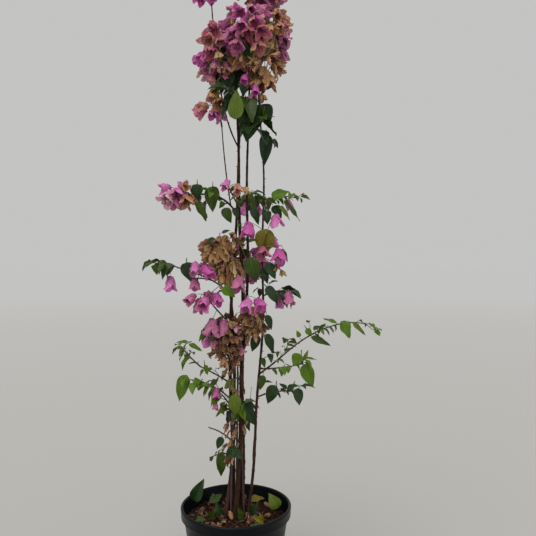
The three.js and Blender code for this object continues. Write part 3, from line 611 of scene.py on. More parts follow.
# Materials. A colour is sRGB hex, and a size in millimetres becomes a pattern's scale.
def linear(text):
    values = [int(text[i : i + 2], 16) / 255 for i in (1, 3, 5)]
    return (*[v / 12.92 if v <= 0.04045 else ((v + 0.055) / 1.055) ** 2.4 for v in values], 1)


def per_mm(size):
    return 1000 / size


def settle(tree, made, given):
    """Sets a node's inputs and properties by name or number: an output is linked, a colour made linear."""
    for key, value in given.items():
        if isinstance(value, bpy.types.NodeSocket):
            tree.links.new(value, made.inputs[key])
        elif isinstance(key, int) or key in made.inputs:
            made.inputs[key].default_value = linear(value) if isinstance(value, str) else value
        else:
            setattr(made, key, value)


def node(tree, kind, given, output=0):
    """Adds a node with its settings and links, and returns the one of its outputs that is asked for."""
    made = tree.nodes.new(kind)
    settle(tree, made, given)
    return made.outputs[output]


def new_material(name):
    """A new material with its node tree, and the place on the object and on the blade."""
    made = bpy.data.materials.new(name)
    made.use_nodes = True
    coords = node(made.node_tree, "ShaderNodeTexCoord", {}).node.outputs
    return made, made.node_tree, coords["Object"], coords["UV"]


def finish(made, colour, relief, given, sunken=False):
    """Gives a material its colour, its relief (height, strength and depth in metres) and its shader's values."""
    tree = made.node_tree
    bump = dict(zip(("Height", "Strength", "Distance", "invert"), (*relief, sunken)))
    normal = node(tree, "ShaderNodeBump", bump)
    settle(tree, tree.nodes["Principled BSDF"], {"Base Color": colour, "Normal": normal, **given})
    return made


def blend(tree, factor, low, high):
    """A colour between two others, each an output or a hex value, by a factor from 0 to 1."""
    return node(tree, "ShaderNodeMix", {"data_type": "RGBA", 0: factor, 6: low, 7: high}, 2)


def veins_on(tree, blade, pairs, slant, strength):
    """Masks of a blade's midrib and its pairs of side veins, which slant to the tip: whole, and fainter."""
    place = node(tree, "ShaderNodeSeparateXYZ", {"Vector": blade}).node.outputs
    middle = node(tree, "ShaderNodeMath", {"operation": "SUBTRACT", 0: place["X"], 1: 0.5})
    aside = node(tree, "ShaderNodeMath", {"operation": "ABSOLUTE", 0: middle})
    lean = node(tree, "ShaderNodeMath", {"operation": "MULTIPLY", 0: aside, 1: slant})
    run = node(tree, "ShaderNodeMath", {"operation": "SUBTRACT", 0: place["Y"], 1: lean})
    fold = node(tree, "ShaderNodeMath", {"operation": "PINGPONG", 0: run, 1: 0.5 / pairs})
    fading = {"To Min": 1, "To Max": 0}
    side, rib = [
        node(tree, "ShaderNodeMapRange", {"Value": value, "From Min": low, "From Max": high, **fading})
        for value, low, high in ((fold, 0, 0.16 / pairs), (aside, 0.008, 0.04))
    ]
    veins = node(tree, "ShaderNodeMath", {"operation": "MAXIMUM", 0: side, 1: rib})
    return veins, node(tree, "ShaderNodeMath", {"operation": "MULTIPLY", 0: veins, 1: strength})


def waxy_leaf(name, blade, shade, vein, roughness):
    """A living leaf: a waxy cuticle gives it a soft gloss, over a blade mottled by its own cells."""
    made, tree, body, on_blade = new_material(name)
    # Patches of lighter and darker green are 10 to 20 mm across.
    mottle = node(tree, "ShaderNodeTexNoise", {"Vector": body, "Scale": per_mm(16), "Detail": 3.0})
    veins, faint = veins_on(tree, on_blade, 6, 0.9, 0.45)
    colour = blend(tree, faint, blend(tree, mottle, shade, blade), vein)
    # The fine relief of the cells dulls the cuticle's shine.
    shine = {"Roughness": roughness, "IOR": 1.45, "Specular IOR Level": 0.32}
    return finish(made, colour, (veins, 0.5, 0.0006), shine, sunken=True)


def papery_bract(name, blade, shade, vein, roughness=0.62):
    """A bract: as thin and dry as tissue paper, so it is matt, with a fine net of darker veins."""
    made, tree, body, on_blade = new_material(name)
    # The colour fades at random in patches of about 12 mm, and painted shade makes it darkest at the bract's foot,
    # deep in the bloom.
    fade = node(tree, "ShaderNodeTexNoise", {"Vector": body, "Scale": per_mm(12), "Detail": 3.0})
    # The net of veins has meshes of 1 to 2 mm, and is drawn at 3 mm so that it shows.
    net = node(tree, "ShaderNodeTexVoronoi", {"feature": "DISTANCE_TO_EDGE", "Vector": body, "Scale": per_mm(3)})
    ahead = node(tree, "ShaderNodeSeparateXYZ", {"Vector": on_blade}, "Y")
    half = node(tree, "ShaderNodeMath", {"operation": "MULTIPLY", 0: fade, 1: 0.6})
    painted_foot_shade_and_fade = node(tree, "ShaderNodeMath", {"operation": "MULTIPLY_ADD", 0: ahead, 1: 0.75, 2: half})
    _, faint = veins_on(tree, on_blade, 5, 0.8, 0.4)
    colour = blend(tree, faint, blend(tree, painted_foot_shade_and_fade, shade, blade), vein)
    # Light goes through a bract: it glows a little where it is lit from behind.
    glow = {"Subsurface Weight": 0.45, "Subsurface Radius": (1.0, 0.5, 0.8), "Subsurface Scale": 0.003}
    return finish(made, colour, (net, 0.5, 0.0007), {"Roughness": roughness, "IOR": 1.4, **glow})


def woody_bark(name, light, dark, fleck):
    """Bark of a young woody stem: cork laid down in long cracks, so it is matt and streaked along its length."""
    made, tree, body, _ = new_material(name)
    # The streaks are about 3 mm wide and 40 mm long.
    stretch = node(tree, "ShaderNodeMapping", {"Vector": body, "Scale": (per_mm(3), per_mm(3), per_mm(40))})
    streaks = node(tree, "ShaderNodeTexNoise", {"Vector": stretch, "Scale": 1.0, "Detail": 5.0, "Roughness": 0.6})
    # Pale corky specks are 1 to 2 mm across.
    specks = node(tree, "ShaderNodeTexVoronoi", {"Vector": body, "Scale": per_mm(5), "Randomness": 1.0})
    spot = node(
        tree, "ShaderNodeMapRange",
        {"Value": specks, "From Min": 0.1, "From Max": 0.24, "To Min": 0.7, "To Max": 0},
    )
    spread = node(tree, "ShaderNodeMapRange", {"Value": streaks, "From Min": 0.36, "From Max": 0.66})
    colour = blend(tree, spot, blend(tree, spread, dark, light), fleck)
    # Cork is full of pores, which swallow most of the shine.
    return finish(made, colour, (streaks, 0.8, 0.0012), {"Roughness": 0.82, "Specular IOR Level": 0.22})


def plain_grain(name, light, dark, size, roughness, shine=0.5):
    """A small thing with a mottled grain of its own, such as a chip of bark, a dry stalk or a flower."""
    made, tree, body, _ = new_material(name)
    grain = node(tree, "ShaderNodeTexNoise", {"Vector": body, "Scale": per_mm(size), "Detail": 4.0})
    colour = blend(tree, grain, dark, light)
    return finish(made, colour, (grain, 0.6, 0.0006), {"Roughness": roughness, "Specular IOR Level": shine})


def moulded_polypropylene(name):
    """Black polypropylene, injection moulded: satin, a little bluish where it shines, with dust on its rim."""
    made, tree, body, _ = new_material(name)
    # Dust and dried splashes of 6 to 20 mm lie on the rim and thin out down the wall.
    dust = node(tree, "ShaderNodeTexNoise", {"Vector": body, "Scale": per_mm(14), "Detail": 6.0, "Roughness": 0.65})
    cover = node(tree, "ShaderNodeMapRange", {"Value": dust, "From Min": 0.52, "From Max": 0.8, "To Max": 0.22})
    height = node(tree, "ShaderNodeSeparateXYZ", {"Vector": body}, "Z")
    high = node(tree, "ShaderNodeMapRange", {"Value": height, "From Min": 0.1, "From Max": 0.21, "To Min": 0.1})
    dusty = node(tree, "ShaderNodeMath", {"operation": "MULTIPLY", 0: cover, 1: high})
    gloss = node(tree, "ShaderNodeMapRange", {"Value": dusty, "To Min": 0.36, "To Max": 0.7})
    # The mould's fine texture has a grain of about half a millimetre, drawn at 1.2 mm so that it shows.
    texture = node(tree, "ShaderNodeTexNoise", {"Vector": body, "Scale": per_mm(1.2), "Detail": 2.0})
    # That grain traps part of the shine.
    shine = {"Roughness": gloss, "IOR": 1.49, "Specular IOR Level": 0.14}
    return finish(made, blend(tree, dusty, "#07090f", "#282622"), (texture, 0.12, 0.0004), shine)


def tones_of(make, prefix, text):
    """The tones of one kind of blade, and a material for each: colours of blade, shade and vein, and how rough."""
    made = [list(row.values()) for row in table("tone blade shade vein roughness", text)]
    return [row[0] for row in made], [make(prefix + row[0], *row[1:]) for row in made]


LEAF_TONES, leaf_materials = tones_of(waxy_leaf, "leaf_", """
bright #55780c #3b5507 #7d9238 0.4
mid #384f10 #243509 #566d2a 0.38
dark #233c18 #14260d #3c592b 0.34
light #5b6d17 #435410 #808f3e 0.48
olive #7c7210 #5a540c #95893a 0.48
""")
# For the bracts below, fresh and dried, the shade colour is painted shade at each bract's foot, deep in the bloom,
# and also a darker tone in random patches.
FRESH_TONES, fresh_materials = tones_of(papery_bract, "bract_", """
pink #d97ab6 #b2528c #93407a
magenta #c9559f #9c3a7c #7f2c65
mauve #c06c92 #964a70 #723656
rose #c86a80 #98485c #743244
blush #dba3b0 #b07382 #935a6a
peach #cc8e70 #965b45 #744332
ochre #bc8d55 #875c31 #694423
""")
DRIED_TONES, dried_materials = tones_of(papery_bract, "bract_", """
straw #d0ac7e #9a7048 #6e4a2e 0.8
tan #b68658 #7e5230 #5c3a22 0.8
umber #80583c #50301e #382013 0.82
""")
old_bark = woody_bark("bark_of_canes", "#422819", "#190d08", "#5d4737")
mauve_bark = woody_bark("bark_of_young_canes", "#4e322a", "#281613", "#6d5849")
twig_skin = plain_grain("skin_of_twigs", "#59413a", "#382724", 4, 0.7)
green_skin = plain_grain("skin_of_stalks", "#7c8a43", "#5b6c2c", 4, 0.55)
flower_skin = plain_grain("flower_tubes", "#8a4a62", "#5d2c3c", 3, 0.6)
cream_flower = plain_grain("flower_faces", "#efe6c8", "#d9cd9c", 3, 0.6)
dry_flower = plain_grain("dry_flower_tubes", "#6d4a2e", "#40291a", 3, 0.8)
TWIG, GREEN = 0, 1
TUBE, FACE, DRY_TUBE = 0, 1, 2

leaves = Piece("leaves", "foliage", leaf_materials)
fresh_bracts = Piece("bracts_fresh", "blossom", fresh_materials)
old_bracts = Piece("bracts_old", "blossom", fresh_materials)
dried_bracts = Piece("bracts_dried", "dried_blossom", dried_materials)
flowers = Piece("flowers", "blossom", [flower_skin, cream_flower, dry_flower])
twigs = Piece("twigs", "bark", [twig_skin, green_skin])


def lay_blade(piece, grid, lay, node_name, tone, thickness):
    """Adds a blade to a piece: lay gives each grid point's place, and the way its face looks, in millimetres."""
    places, normals = lay(grid.across, grid.along)
    piece.add(places + normals * (grid.face * thickness / 2)[:, None], grid.faces, node_name, tone, grid.marks)


def add_leaf(piece, node_name, leaf, tone, random, grid=LEAF_GRID, sway=1, broad=1, form="pointed"):
    """A leaf: folded along its midrib, arched to its tip, with a wave along its margin."""
    root, knee, direction, normal, length = leaf
    direction = turned(direction, normal, random(-0.4, 0.4) * sway)
    normal = turned(normal, direction, random(-0.6, 0.6) * sway)
    across = np.array(direction.cross(normal))
    wave, phase, twist = random(0.02, 0.055) * length, random(0, FULL_TURN), random(-0.4, 0.4)
    fold, width = random(0.1, 0.55) + 0.35 * sway * random(), LEAF_HALF * random(0.9, 1.1) * broad
    arch = LEAF_ARCH * random(0.3, 2.2 + sway)

    def lay(u, v):
        aside = u * width * length * outline(v, *LEAF_FORMS[form])
        rise = fold * np.abs(aside) - arch * length * v**2 + twist * v * aside
        rise = rise + wave * np.sin(13 * v + phase + 1.5 * u) * u**2
        places = np.array(knee) + np.outer(aside, across) + np.outer(v * length, direction) + np.outer(rise, normal)
        return places, np.tile(np.array(normal), (len(u), 1))

    lay_blade(piece, grid, lay, node_name, LEAF_TONES.index(tone), LEAF_THICKNESS)
    if node_name:
        stalk = curve(root, root.lerp(knee, 0.5) + UP * 1.2, knee, 3)
        twigs.add(*tube(stalk, LEAF_STALK, 5), node_name, GREEN)


def bell_line(length, flare, curl):
    """How a bract's middle line runs: out of its seat, then ahead by the flare, and by the curl at its tip."""
    shares = np.linspace(0, 1, BELL_STEPS + 1)
    lean = np.radians(np.interp(shares, (0, 0.1, 0.32, 0.75, 1), (88, 66, flare - 6, flare - 8, flare + curl)))
    steps = np.stack([np.sin(lean), np.cos(lean)]) * length / BELL_STEPS
    out, ahead = np.cumsum(steps, axis=1) - steps[:, :1]
    return shares, lean, out, ahead


def add_bract(
    piece, node_name, centre, frame_of, length, bend, half, tone, random, crumple=LOOSE_CRUMPLE, dried=True
):
    """A bract: a pointed papery blade that wraps round its bloom's axis and waves along its margin.

    frame_of is the way out, sideways and along the axis, and bend the flare and the curl of its tip in degrees."""
    outward, sideways, axis = (np.array(v) for v in frame_of)
    shares, leans, outs, aheads = bell_line(length, *bend)
    ripple, phase, skew = random(0.02, 0.07) * length, random(0, FULL_TURN), random(-0.5, 0.5)
    ruffle, keel = random(0.01, 0.045) * length, random(1.4, 4.2)
    seat = Vector((random(0, 90), random(0, 90), random(0, 90)))
    pleat = DRIED_PLEAT if dried else 0

    def lay(u, v):
        out, ahead, lean = (np.interp(v, shares, values) for values in (outs, aheads, leans))
        wrap = 0.85 * out + 5
        ragged = 1 + 0.09 * np.sin(21 * v + 3 * phase * u)
        turn = u * ragged * half * length * outline(v, *BRACT_FORM) / wrap + skew * v**2 * 0.3
        spots = [seat + Vector((a * 2.2, b * 4, 0)) for a, b in zip(u, v)]
        bumps = np.array([noise.noise(spot) + 0.35 * noise.noise(spot * 2.6) for spot in spots])
        rise = ripple * np.sin(15 * v + phase + 2 * u) * u**2 + crumple * bumps * np.minimum(1, 3 * v)
        rise = rise + ruffle * np.sin(29 * v - phase) * np.abs(u) ** 3 - keel * np.abs(u) * np.minimum(1, 4 * v)
        rise = rise + pleat * np.cos(3 * math.pi * u) * np.minimum(1, 3 * v) * (1 - 0.5 * v)
        reach = (out + wrap * (np.cos(turn) - 1))[:, None] * outward + (wrap * np.sin(turn))[:, None] * sideways
        across = np.outer(np.cos(turn), outward) + np.outer(np.sin(turn), sideways)
        outer = across * np.cos(lean)[:, None] - np.outer(np.sin(lean), axis)
        return np.array(centre) + reach + np.outer(ahead, axis) + outer * rise[:, None], outer

    lay_blade(piece, DRIED_GRID if dried else BRACT_GRID, lay, node_name, tone, BRACT_THICKNESS)


def tube_flower(node_name, centre, direction, length, opened, random, tone):
    """The small tube flower that stands on a bract: a slim neck that widens, and a star face where it is open."""
    side = side_of(direction)
    tip = centre + direction * length + side * random(-1.5, 1.5)
    points = curve(centre, centre.lerp(tip, 0.5) + side * random(-1.2, 1.2), tip, 4)
    flowers.add(*tube(points, (*NECK_RADII, MOUTH[opened]), 6, pointed=not opened), node_name, tone)
    if not opened:
        return
    star = [tip + direction * 0.6, tip - direction * 0.2]
    for k in range(STAR_CORNERS):
        reach = STAR_NOTCH if k % 2 else STAR_POINT
        star.append(tip + turned(side, direction, FULL_TURN * k / STAR_CORNERS) * reach)
    edges = [(2 + k, 2 + (k + 1) % STAR_CORNERS) for k in range(STAR_CORNERS)]
    flowers.add(star, [(0, a, b) for a, b in edges] + [(1, b, a) for a, b in edges], node_name, FACE)


def aged_tones(own, turned_tan, random):
    """A material for each face of a bract: its own in the middle, peach and then ochre towards its margin."""
    worn, limit = [], 1.25 - turned_tan
    for aside, ahead in BRACT_GRID.middles:
        age = max(aside, ahead * 1.05) + random(-0.16, 0.16)
        worn.append("ochre" if age > limit + 0.16 else "peach" if age > limit else own)
    return [FRESH_TONES.index(tone) for tone in worn]


def add_bloom(node_name, centre, axis, spin, dried, age, random, tone=None, scale=1):
    """A bloom: three bracts round their tube flowers, of a tone that is dealt by age where none is given."""
    look = AGES[age]
    across = aside_from(axis, spin)
    other = across.cross(axis)
    deal = (tone,) if tone else DEALS[age]["dried" if dried else "fresh"]
    tone = pick(deal, random)
    turned_tan = random(*look["turned_tan"])
    flare = random(*(DRIED_FLARE if dried else look["flare"]))
    curl = random(*(DRIED_CURL if dried else look["curl"]))
    size = BRACT_LENGTH * scale * (random(*DRIED_SHRUNK) if dried else look["size"] * random(0.88, 1.08))
    for k in range(3):
        angle = FULL_TURN * k / 3 + random(-0.14, 0.14)
        outward = other * math.sin(angle) - across * math.cos(angle)
        sideways = across * math.sin(angle) + other * math.cos(angle)
        length = size * random(0.9, 1.06)
        own = tone if random() < OWN_TONE[dried] else pick(deal, random)
        if dried:
            piece, worn = dried_bracts, DRIED_TONES.index(own)
            half, crumple = random(*DRIED_HALF), random(*DRIED_CRUMPLE)
        else:
            piece, worn = old_bracts if age == "old" else fresh_bracts, aged_tones(own, turned_tan, random)
            half, crumple = random(*look["half"]), look["crumple"]
        bend = (flare + random(-4, 4), curl)
        ways = (outward, sideways, axis)
        add_bract(piece, node_name, centre, ways, length, bend, half, worn, random, crumple, dried)
        lean = (axis + outward * 0.22).normalized()
        opened = not dried and random() < OPEN_FLOWERS
        place, reach = centre + lean * 2, length * random(0.45, 0.6)
        tube_flower(node_name, place, lean, reach, opened, random, DRY_TUBE if dried else TUBE)


def add_twig(node_name, points, radii, sides=5, tone=TWIG):
    """A twig with small scars on it, laid along the points and tapered between its two radii."""
    rounded = smoothed(points, 3)
    count = len(rounded) - 1
    scarred = [mix(*radii, i / count) * (SCAR_SWELL if i % 4 == 2 else 1) for i in range(count + 1)]
    twigs.add(*tube(rounded, scarred, sides, pointed=True), node_name, tone)


def add_stalk(node_name, seat, place, axis, bow, steps, dried):
    """The stalk of a bloom, which comes to it from behind: green under a fresh one."""
    points = curve(seat, seat.lerp(place, 0.6) - axis * bow, place, steps)
    add_twig(node_name, points, BLOOM_STALK, tone=TWIG if dried else GREEN)


def straight(seat, place):
    return [seat, seat.lerp(place, 0.5), place]


def leaf_on(root, out, length, hang):
    """A leaf's place: its stalk leaves the stem outwards and its blade hangs, with its upper face to the light."""
    knee = root + out * STALK + UP * STALK * STALK_LIFT
    direction = (out - UP * hang).normalized()
    return root.copy(), knee, direction, square_to(direction, out * hang + UP), length


def leaf_between(root, knee, tip, lean):
    """A leaf's place where both ends of its blade are given: it faces the photo's side and leans back."""
    direction = (tip - knee).normalized()
    return root, knee, direction, square_to(direction, pointing(270, lean)), (tip - knee).length


taken_leaves = []


def place_leaf(node_name, leaf, tone, random, grid=LEAF_GRID):
    """Adds a leaf where it is clear of limbs and other leaves, and says whether it did."""
    _, knee, direction, _, length = leaf
    middle, tip = knee + direction * length * 0.5, knee + direction * length
    crowded = any((middle - other).length <= spacing for other, spacing in taken_leaves)
    if crowded or not clear_of_limbs(knee, middle, tip):
        return False
    taken_leaves.append((middle, LEAF_SPACING))
    add_leaf(leaves, node_name, leaf, tone, random, grid)
    return True


NEAR_TONES = {"bright": "light", "mid": "bright", "dark": "mid"}


def leaf_tone(tone, random):
    return tone if random() < 0.78 else NEAR_TONES[tone]


def patch_tones(point):
    """The tones of the patch of colour that a point on the crown's near side lies in, or None outside them all."""
    for patch in PATCHES:
        x, z = patch["middle"]
        if point.y < PATCH_DEPTH and math.hypot(point.x - x, point.z - z) < patch["radius"]:
            return patch.get("tones", ())
    return None


def head_stem(head):
    """A head's own stem: from its limb, on in the way that the limb ends or straight at the head, to its crest."""
    root, middle = root_on(head["on"], head["seat"]), Vector(head["centre"])
    start = (middle - root).normalized() if head["seat"] > 1 else along(limb_points[head["on"]], 1)[1]
    crest = middle + UP * head["radii"][2] * HEAD_CREST
    return curve(root, root + start * (middle - root).length * HEAD_BEND, crest, HEAD_STEPS)


def grow_head(name, head):
    """A head: its stem, then leaves and blooms at turns of the golden angle, in an order that spreads them."""
    random, extra = seeded(head["seed"]), seeded(head["seed"] + 500)
    middle, stem, radii = Vector(head["centre"]), head_stem(head), head["radii"]
    add_twig(name, stem, HEAD_STEM, 6)
    leaf_tries = HEAD_TRIES * head["leaves"]
    count = HEAD_TRIES * head["blooms"] + leaf_tries + 1
    stride = round(count * PLACE_STEP)
    centres, leaf_count = [], 0
    dense, all_dried = head["blooms"] >= DENSE_HEAD, head["dried"] > ALL_DRIED
    wanted = round(head["blooms"] * head.get("fill", MORE_BLOOMS if dense else SPARSE_BLOOMS))
    if name in SET_BLOOMS:
        wanted = 0
        grow_set_blooms(name, stem, extra)
    for n in range(len(HEAD_LAYERS) * count):
        i = n * stride % count
        height = 1 - 2 * (i + 0.5) / count
        out = on_ball(height, i * GOLDEN_ANGLE + head["seed"] + n // count * LAYER_TURN)
        depth = mix(*HEAD_DEPTH, random()) * HEAD_LAYERS[n // count]
        dried, turn = random() < head["dried"], random()
        room = 0 if n < leaf_tries else head.get("room", BLOOM_ROOM)
        place = Vector([o * (r + room) for o, r in zip(out, radii)]) * depth + middle
        seat = along(stem, mix(*HEAD_TWIGS, 0.5 + 0.5 * height))[0]
        if n < leaf_tries:
            if leaf_count < head["leaves"] and name not in LEAFLESS:
                level = Vector((out.x, out.y, 0)).normalized()
                leaf = leaf_on(place, level, mix(*HEAD_LEAF, turn), HEAD_LEAF_HANG)
                if place_leaf(name, leaf, leaf_tone("dark", extra), extra):
                    leaf_count += 1
                    add_twig(name, straight(seat, place), LEAF_TWIG)
            continue
        if len(centres) >= wanted:
            break
        place += UP * BLOOM_RAISED
        axis = (out - UP * (DRIED_DROOP if dried else AGES[head["age"]]["nod"])).normalized()
        tones = patch_tones(place + axis * BRACT_LENGTH / 2)
        crowded = any((place - other).length <= BLOOM_SPACING[all_dried] for other in centres)
        if tones == () or crowded or not clear_of_limbs(place, place + axis * BLOOM_CLEAR):
            continue
        centres.append(place)
        tone = pick(tones, extra) if tones else None
        if tone:
            dried = tone in DRIED_TONES
        if dried:
            axis = (turned(axis, side_of(axis), extra(-DRIED_TURN, DRIED_TURN)) - UP * DRIED_HANG).normalized()
        add_stalk(name, seat, place, axis, 4, 3, dried)
        size = head.get("size", CROWN_DRIED if dried and place.z > CROWN_FOOT else 1)
        add_bloom(name, place, axis, turn * FULL_TURN, dried, head["age"], extra, tone, size)
    if dense and not all_dried:
        grow_inner_leaves(name, radii, stem, middle, extra)


def grow_set_blooms(name, stem, random):
    """The blooms that are set one by one: each on a thin stalk from the nearest place on its mass's stem."""
    near = [along(stem, k / STEM_PLACES)[0] for k in range(STEM_PLACES + 1)]
    for bloom in table("place axis tone size", SET_BLOOMS[name]):
        place, axis, tone = Vector(bloom["place"]), Vector(bloom["axis"]).normalized(), bloom["tone"]
        dried = tone in DRIED_TONES
        add_stalk(name, min(near, key=lambda point: (point - place).length), place, axis, 6, 4, dried)
        age = "old" if dried else "set"
        add_bloom(name, place, axis, random(0, FULL_TURN), dried, age, random, tone, bloom["size"])


def grow_inner_leaves(name, radii, stem, middle, random):
    """The leaves deep in a dense head, which show dark between its blooms."""
    for k in range(INNER_LEAVES):
        height = 1 - 2 * (k + 0.5) / INNER_LEAVES
        out = on_ball(height, k * GOLDEN_ANGLE + random(0, 1))
        place = Vector([o * r for o, r in zip(out, radii)]) * random(*INNER_DEPTH) + middle
        level = Vector((out.x, out.y, 0)).normalized()
        leaf = leaf_on(place, level, random(*INNER_LENGTH), random(*INNER_HANG))
        if place_leaf(name, leaf, "dark", random):
            add_twig(name, straight(along(stem, 0.6 + 0.3 * height)[0], place), INNER_TWIG)


def grow_spray(name, spray):
    """A spray: its stem, the leaves round it, the shoots between them and at its end, and its blooms."""
    random, extra = seeded(spray["seed"]), seeded(spray["seed"] + 500)
    stem, leaf_length, tone = shoot_points(spray, SPRAY_STEP), spray["leaf_length"], spray["tone"]
    add_twig(name, stem, SPRAY_STEM, 6)
    for i in range(spray["leaves"]):
        share = mix(SPRAY_BARE, 1, (i + 1) / spray["leaves"])
        point, direction = along(stem, share)
        turn = i * GOLDEN_ANGLE + 1 + random()
        hang = mix(*SPRAY_HANG, random())
        length = leaf_length * mix(*SPRAY_SIZES, share) * mix(*SPRAY_UNEVEN, random()) * spray.get("smaller", 1)
        for further in SPRAY_TURNS:
            out = aside_from(direction, turn + further) * 0.8 + direction * 0.6
            out.z *= 0.3
            leaf = leaf_on(point, out.normalized(), length, hang)
            if place_leaf(name, leaf, leaf_tone(tone, extra), extra):
                break
    if spray["leaves"] and name not in SHOOTLESS:
        shoots = round(spray["reach"] / SHOOT_EVERY)
        for k in range(shoots):
            grow_side_shoot(name, stem, (k + extra()) / shoots, tone, leaf_length, extra)
        grow_young_leaves(name, *along(stem, 1), 3, leaf_length * END_LEAF, tone, extra)
    grow_buds(name, stem, extra)
    if name in SET_BLOOMS:
        grow_set_blooms(name, stem, extra)
    for i in range(spray["blooms"]):
        point, _ = along(stem, 1 - BLOOM_SPAN * i / spray["blooms"])
        spin = random() * FULL_TURN
        out = pointing(random() * 360, 0)
        centre = point + out * BLOOM_OUT - UP * BLOOM_DROP
        axis = (out * BLOOM_LEAN - UP).normalized()
        stalk = curve(point, point.lerp(centre, 0.5) + UP * BLOOM_LIFT, centre, 4)
        add_twig(name, stalk, SHOOT_TWIG, tone=GREEN)
        add_bloom(name, centre, axis, spin, False, "young", extra)


def grow_young_leaves(name, point, direction, count, length, tone, random):
    """A tuft of young leaves at the end of a shoot: the last the smallest, and all lighter than the old ones."""
    for i in range(count):
        out = aside_from(direction, i * GOLDEN_ANGLE + random(0, 1)) * random(0.5, 1) + direction
        out.z = out.z * 0.5 + 0.15
        leaf = leaf_on(point, out.normalized(), length * random(0.55, 1), random(-0.1, 0.9))
        place_leaf(name, leaf, tone if random() < 0.5 else NEAR_TONES[tone], random, SMALL_LEAF_GRID)


def grow_side_shoot(name, stem, share, tone, leaf_length, random):
    """A short shoot off a stem with two or three young leaves at its end."""
    point, direction = along(stem, share)
    out = aside_from(direction, random(0, FULL_TURN)) + direction * 0.8
    out.z = out.z * 0.6 + 0.25
    tip = point + out.normalized() * random(*SHOOT_REACH)
    if clear_of_limbs(tip):
        add_twig(name, curve(point, point.lerp(tip, 0.5) + UP * random(0, 3), tip, 3), SHOOT_TWIG)
        young = leaf_length * random(*YOUNG_LEAF)
        grow_young_leaves(name, tip, (tip - point).normalized(), int(random(*SHOOT_LEAVES)), young, tone, random)


def grow_buds(name, stem, random):
    """The scars, buds and short thorns along a stem."""
    for k in range(1, 2 * len(stem)):
        point, direction = along(stem, min(1, k / (2 * len(stem)) + random(0, 0.04)))
        out = aside_from(direction, random(0, FULL_TURN))
        root, way, length = point + out * 0.8, (out + direction * 0.5).normalized(), random(*BUD_LENGTH)
        twigs.add(*tube([root, root + way * length * 0.6, root + way * length], BUD_RADII, 5), name)


stems = {name: shoot_points(one, SPRAY_STEP) for name, one in SPRAYS.items()}
stems.update({name: head_stem(one) for name, one in HEADS.items()})
wood = [(name, p) for name, points in {**limb_points, **stems}.items() for p in smoothed(points, 6)]
lone = seeded(65)
for one in LONE_LEAVES:
    knee = Vector(one["knee"])
    tip = Vector((one["tip"][0], knee.y - LONE_FORWARD, one["tip"][1]))
    name, root = min(wood, key=lambda at: (at[1] - knee).length)
    if (knee - root).length > 2 * STALK:
        back = (tip - knee).normalized() * STALK
        twig = curve(root, root.lerp(knee, 0.5) + UP * 5, knee - back + UP * 2, 4)
        add_twig(name, twig, LONE_TWIG)
        root = twig[-1]
    leaf, form = leaf_between(root, knee, tip, LONE_LEAN), one.get("form", "pointed")
    add_leaf(leaves, name, leaf, one["tone"], lone, sway=LONE_SWAY, broad=one["broad"], form=form)
    taken_leaves += [(knee.lerp(tip, share), LONE_SPACING) for share in (0.15, 0.5, 0.85)]

for name, one in HEADS.items():
    for lobe in [lobe for lobe in LOBES if lobe["name"] == name] or [{}]:
        grow_head(name, {**one, **lobe})
for name, one in SPRAYS.items():
    grow_spray(name, one)

shooting = seeded(71)
for one in LIMB_SHOOTS:
    for share in one["shares"]:
        grow_side_shoot(one["limb"], limb_points[one["limb"]], share, one["tone"], one["leaf_length"], shooting)

for one in DRY_STEMS:
    (x, y), radius = one["foot"], one["radius"]
    foot, tip, bow = Vector((x, y, SOIL_TOP - 2)), Vector(one["tip"]), Vector((y, x, 0)) * DRY_BOW
    add_twig(None, curve(foot, foot.lerp(tip, 0.5) + bow, tip, 10), (radius, radius * DRY_TAPER), 8)

dying = seeded(91)
for one in DEAD_TWIGS:
    root = root_on(one["limb"], one["height"])
    out = pointing(dying(0, 360), dying(10, 40))
    elbow = root + out * dying(7, 13)
    tip = elbow + (UP + out * dying(-0.15, 0.2)) * one["reach"] * (1 if dying() < 0.6 else -0.7)
    add_twig(None, curve(root, elbow, tip, 8), DEAD_TWIG)

catching = seeded(77)
for one in CAUGHT:
    for k in range(one["count"]):
        seat = root_on(one["limb"], mix(one["low"], one["high"], (k + catching()) / one["count"]))
        out = pointing(catching(170, 300), catching(-30, 10))
        centre = seat + out * catching(*CAUGHT_OUT)
        twigs.add(*tube([seat + out * 2, seat + out * 6 + UP * 2, centre], CAUGHT_STALK, 5), None, TWIG)
        across, axis = aside_from(out, catching(0, FULL_TURN)), (out - UP).normalized()
        for part in range(int(catching(1, 3.9))):
            outward = turned(across, out, part * 2.2 + catching())
            ways, length = (outward, out.cross(outward), axis), catching(*CAUGHT_LENGTH)
            worn = int(catching(1, 2.99))
            add_bract(dried_bracts, None, centre, ways, length, CAUGHT_BEND, CAUGHT_HALF, worn, catching)

for piece in (leaves, fresh_bracts, old_bracts, dried_bracts, flowers, twigs):
    piece.build()

# The limbs' bark: long shallow cracks, swollen nodes where leaves have been, and a thorn at some of them.
BARK_SIDES, BARK_STEP, CRACK = 18, 3, 0.07
NODE_SPACING, NODE_SWELL, NODE_REACH = 34, 0.16, 3.2
THORNY, THORN_LENGTH, THORN_RADII = 0.75, (3, 6), (1.1, 0.6, 0.15)
GRAIN_ROUND, GRAIN_ALONG = 1.6, 14

